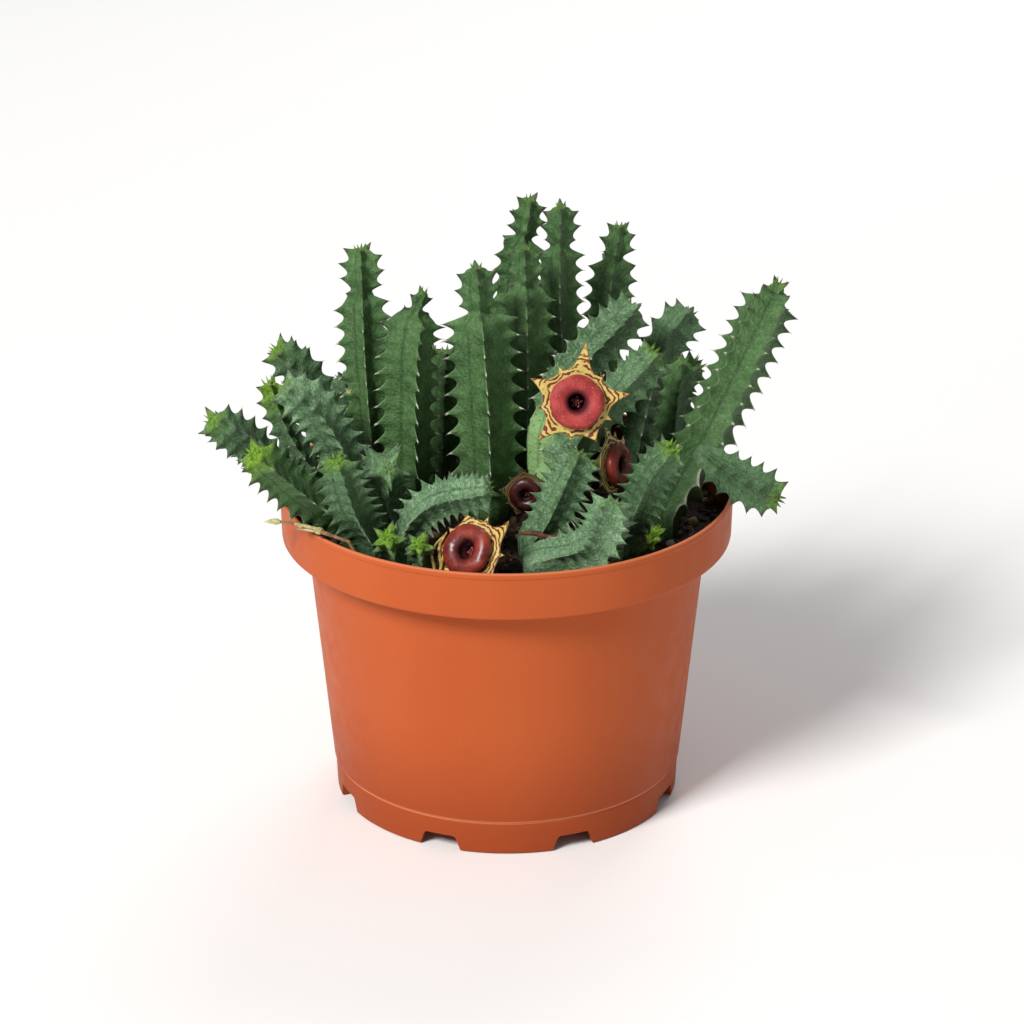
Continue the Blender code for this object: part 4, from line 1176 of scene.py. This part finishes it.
def build_annulus(name, matrix, material):
    """The raised ring, fuller outside and rolling down into its funnel."""
    around, over = RING_STEPS
    roll = turns(over)
    build = Build(("radial",))
    for i, angle in enumerate(turns(around)):
        wobble = 1 + RING_CORNERS * math.cos(5 * angle) + RING_UNEVENNESS * math.sin(9 * angle)
        radius = (RING_RADIUS + RING_TUBE * np.cos(roll)) * wobble
        height = RING_TUBE * RING_FLATNESS * (1 + np.sin(roll)) + RING_LIFT
        points = np.column_stack([radius * math.cos(angle), radius * math.sin(angle), height])
        here, there = i * over, (i + 1) % around * over
        faces = [(j, there - here + j, there - here + (j + 1) % over, (j + 1) % over) for j in range(over)]
        build.add(carry(matrix, points), faces, radial=radius)
    build.object(f"bloom_{name}_ring", material, "annulus", f"flower_{name}_annulus")


def ball(build, centre, radii, matrix, rings=6, columns=10):
    """A closed ellipsoid."""
    slopes = [math.pi * i / rings for i in range(1, rings)]
    points = np.vstack([circle(math.sin(slope), turns(columns), math.cos(slope)) for slope in slopes]
                       + [(0, 0, 1), (0, 0, -1)])
    faces = grid_faces(rings - 1, columns, flip=True) + fan(0, columns, len(points) - 2)
    faces += fan((rings - 2) * columns, columns, len(points) - 1, flip=True)
    build.add(carry(matrix, points * radii + centre), faces)


def build_corona(name, matrix, material):
    """The beaded corona in the funnel."""
    build = Build()
    floor = 0.1 - THROAT_DEPTH
    ball(build, (0, 0, floor + 1.1), (1.7, 1.7, 1.3), matrix)
    for ring, (count, reach, height, size) in enumerate(CORONA_BEADS):
        for index in range(count):
            angle = 2 * math.pi * (index + 0.5 * ring) / count
            centre = (reach * math.cos(angle), reach * math.sin(angle), floor + height)
            ball(build, centre, (size, size, size), matrix)
    build.object(f"bloom_{name}_corona", material, "corona", f"flower_{name}_corona")


def node_surface(name):
    """A search tree over a CAD node's faces."""
    mesh = frame["nodes"][name].data
    return BVHTree.FromPolygons([v.co for v in mesh.vertices], [p.vertices for p in mesh.polygons])


def build_flowers():
    """Every bloom: star, ring and corona."""
    rings = {kind: annulus_material(kind) for kind in ("rose", "glossy", "shaded")}
    beads = corona_material()
    for name, flower in FLOWERS.items():
        matrix = flower_frame(flower)
        build_corolla(name, flower, matrix, node_surface(flower.bearer), corolla_material(name))
        build_annulus(name, matrix, rings[RING_KINDS.get(name, "glossy")])
        build_corona(name, matrix, beads)


# Withered bloom and bud at the left rim
STALK = ((-44, -53, 97), (-48, -53, 105), (-51, -53, 110.6), (-56, -52, 112), (-60, -49, 112.3))
BUD_STALK = ((-64, -45, 112.4), (-69, -41, 111.7), (-72, -39, 111.2), (-74, -38, 111.0))
BUD = ((-73.4, -38.3, 111), (-74.8, -37.6, 110.9), (-76.6, -36.7, 110.6), (-79, -35.6, 110))
BUD_RADII = (0.4, 1.1, 0.85, 0.12)
BUD_STEPS = 14
HEART = (-60.5, -48.6, 112.3)
HEART_RADII = (1.7, 1.3, 1.2)
PETALS = 8
PETAL_STEPS = 9
LOBE_STEPS = 12
SHRIVELLED_LOBES = (((-19, -57, 115.5), (-21.5, -59, 111), (-21, -60.5, 104), (-24, -61.5, 99)),
                    ((-20, -56, 114), (-24, -58, 109), (-23, -60, 103), (-25.5, -60, 98.5)),
                    ((-18.5, -58, 114), (-20.5, -60.5, 107), (-21.5, -62, 101), (-20.5, -62.5, 98)))
DRIED_LOBE = ((4, -49, 111.5), (9, -51, 112.5), (13, -52.5, 111.8), (18, -53.5, 112.6))
TUFT = (-52.4, 4.5, 140.0)
TUFT_HAIRS = 9


def build_withered():
    """A spent bloom with its bud, lying over the rim."""
    rng = np.random.default_rng(SEED + 2)
    straw = dried_material("dried_straw", (0.22, 0.17, 0.06), (0.66, 0.58, 0.32))
    brown = dried_material("dried_brown", (0.12, 0.06, 0.025), (0.34, 0.20, 0.09))
    dark = dried_material("dried_maroon", (0.04, 0.012, 0.008), (0.15, 0.06, 0.03))
    gold = dried_material("dried_gold", (0.24, 0.13, 0.03), (0.66, 0.50, 0.14))
    cream = dried_material("dried_cream", (0.30, 0.30, 0.10), (0.62, 0.58, 0.30))
    stalks = Build()
    tube(stalks, STALK, (0.7, 0.65, 0.55, 0.55, 0.8), 10)
    tube(stalks, BUD_STALK, (0.6, 0.45, 0.4, 0.5), 10)
    stalks.object("withered_stalks", brown, "dried_bloom", "dried_flower")
    petals = Build()
    ball(petals, HEART, HEART_RADII, np.eye(4), 8, 12)
    for _ in range(PETALS):
        start = np.array([-60, -48.8, 112.3 + rng.uniform(-0.5, 0.5)])
        reach = np.array([-66 - rng.uniform(0, 3), -44 + rng.uniform(-2.2, 2.2),
                          112.2 + rng.uniform(-1.0, 1.6)])
        bow = (start + reach) / 2 + rng.uniform(-1.8, 1.8, 3)
        path = [bend(start, bow, reach, t) for t in np.linspace(0, 1, PETAL_STEPS)]
        tube(petals, path, 0.12 + 0.38 * np.sin(np.linspace(0.25, math.pi * 0.97, PETAL_STEPS)), 8)
    petals.object("withered_petals", straw, "dried_bloom")
    bud = Build()
    tube(bud, curve(BUD, BUD_STEPS), np.interp(np.linspace(0, 3, BUD_STEPS), range(4), BUD_RADII), 14)
    bud.object("withered_bud", cream, "dried_bloom")
    swell = 0.35 + np.sin(np.linspace(0.2, math.pi * 0.95, LOBE_STEPS))
    for name, material, thickness, paths in (("shrivelled_lobes", gold, 0.42, SHRIVELLED_LOBES),
                                             ("dried_lobe", dark, 0.75, (DRIED_LOBE,))):
        lobes = Build()
        for path in paths:
            tube(lobes, curve(path, LOBE_STEPS), thickness * swell, 7)
        lobes.object(name, material, "dried_bloom")
    tuft = Build()
    for _ in range(TUFT_HAIRS):
        out = unit(np.array([rng.uniform(-1, 0.4), rng.uniform(-1, 0.1), rng.uniform(-0.7, 0.9)]))
        add_cone(tuft, np.array(TUFT), np.array(TUFT) + out * rng.uniform(1.4, 2.4), 0.35, 5, 1.0)
    tuft.object("dry_tuft", cream, "dried_bloom")


# Studio, in metres. Each light has a place, a size, a power in watts and a colour.
FLOOR_HALF = 4.0
FLOOR_DROP = 0.0003
SKY_STRENGTH = 0.26
LIGHT_TARGET = (0.0, 0.0, 0.1)
LIGHTS = {
    "key": ((-1.9, -2.4, 2.8), 1.2, 180.0, (1.0, 0.985, 0.96)),
    "rim": ((0.4, 1.3, 1.2), 0.9, 9.0, (1.0, 1.0, 1.0)),
}


def add_area(name, place, size, power, colour):
    """A square soft light that faces the plant."""
    light = bpy.data.lights.new(name, "AREA")
    light.size = size
    light.energy = power
    light.color = colour
    obj = bpy.data.objects.new(name, light)
    obj.location = place
    obj.rotation_mode = "QUATERNION"
    obj.rotation_quaternion = (Vector(LIGHT_TARGET) - Vector(place)).to_track_quat("-Z", "Y")
    bpy.context.scene.collection.objects.link(obj)


def build_studio():
    """A pale floor, soft lights, and the camera at the photograph's angle."""
    mesh = bpy.data.meshes.new("floor")
    corners = [(x * FLOOR_HALF, y * FLOOR_HALF, 0) for x, y in ((-1, -1), (1, -1), (1, 1), (-1, 1))]
    mesh.from_pydata(corners, [], [(0, 1, 2, 3)])
    paper = Graph("floor_paper")
    paper.colour = (0.93, 0.93, 0.93)
    mesh.materials.append(paper.finish(0.9, specular=0.2))
    floor = bpy.data.objects.new("floor", mesh)
    floor.location.z = -FLOOR_DROP
    bpy.context.scene.collection.objects.link(floor)
    world = bpy.data.worlds.new("studio")
    world.use_nodes = True
    background = world.node_tree.nodes["Background"]
    background.inputs["Color"].default_value = (1.0, 1.0, 1.0, 1.0)
    background.inputs["Strength"].default_value = SKY_STRENGTH
    bpy.context.scene.world = world
    for name, light in LIGHTS.items():
        add_area(name, *light)
    camera = bpy.data.cameras.new("camera")
    camera.sensor_width = SENSOR
    camera.lens = FOCAL_PIXELS * SENSOR / FRAME_PIXELS
    obj = bpy.data.objects.new("camera", camera)
    obj.location = CAMERA_PLACE
    obj.rotation_euler = (math.pi / 2 - CAMERA_PITCH, 0.0, 0.0)
    bpy.context.scene.collection.objects.link(obj)
    bpy.context.scene.camera = obj
    bpy.context.scene.view_settings.view_transform = "Standard"


def main():
    build_pot(pot_material())
    build_soil(soil_material())
    build_crumbs(crumb_material())
    build_fibres(dried_material("fibre_brown", (0.10, 0.055, 0.03), (0.34, 0.22, 0.12)))
    build_stems({name: stem_material(name) for name in SKINS})
    build_flowers()
    build_withered()
    build_studio()


main()
bpy.context.view_layer.update()
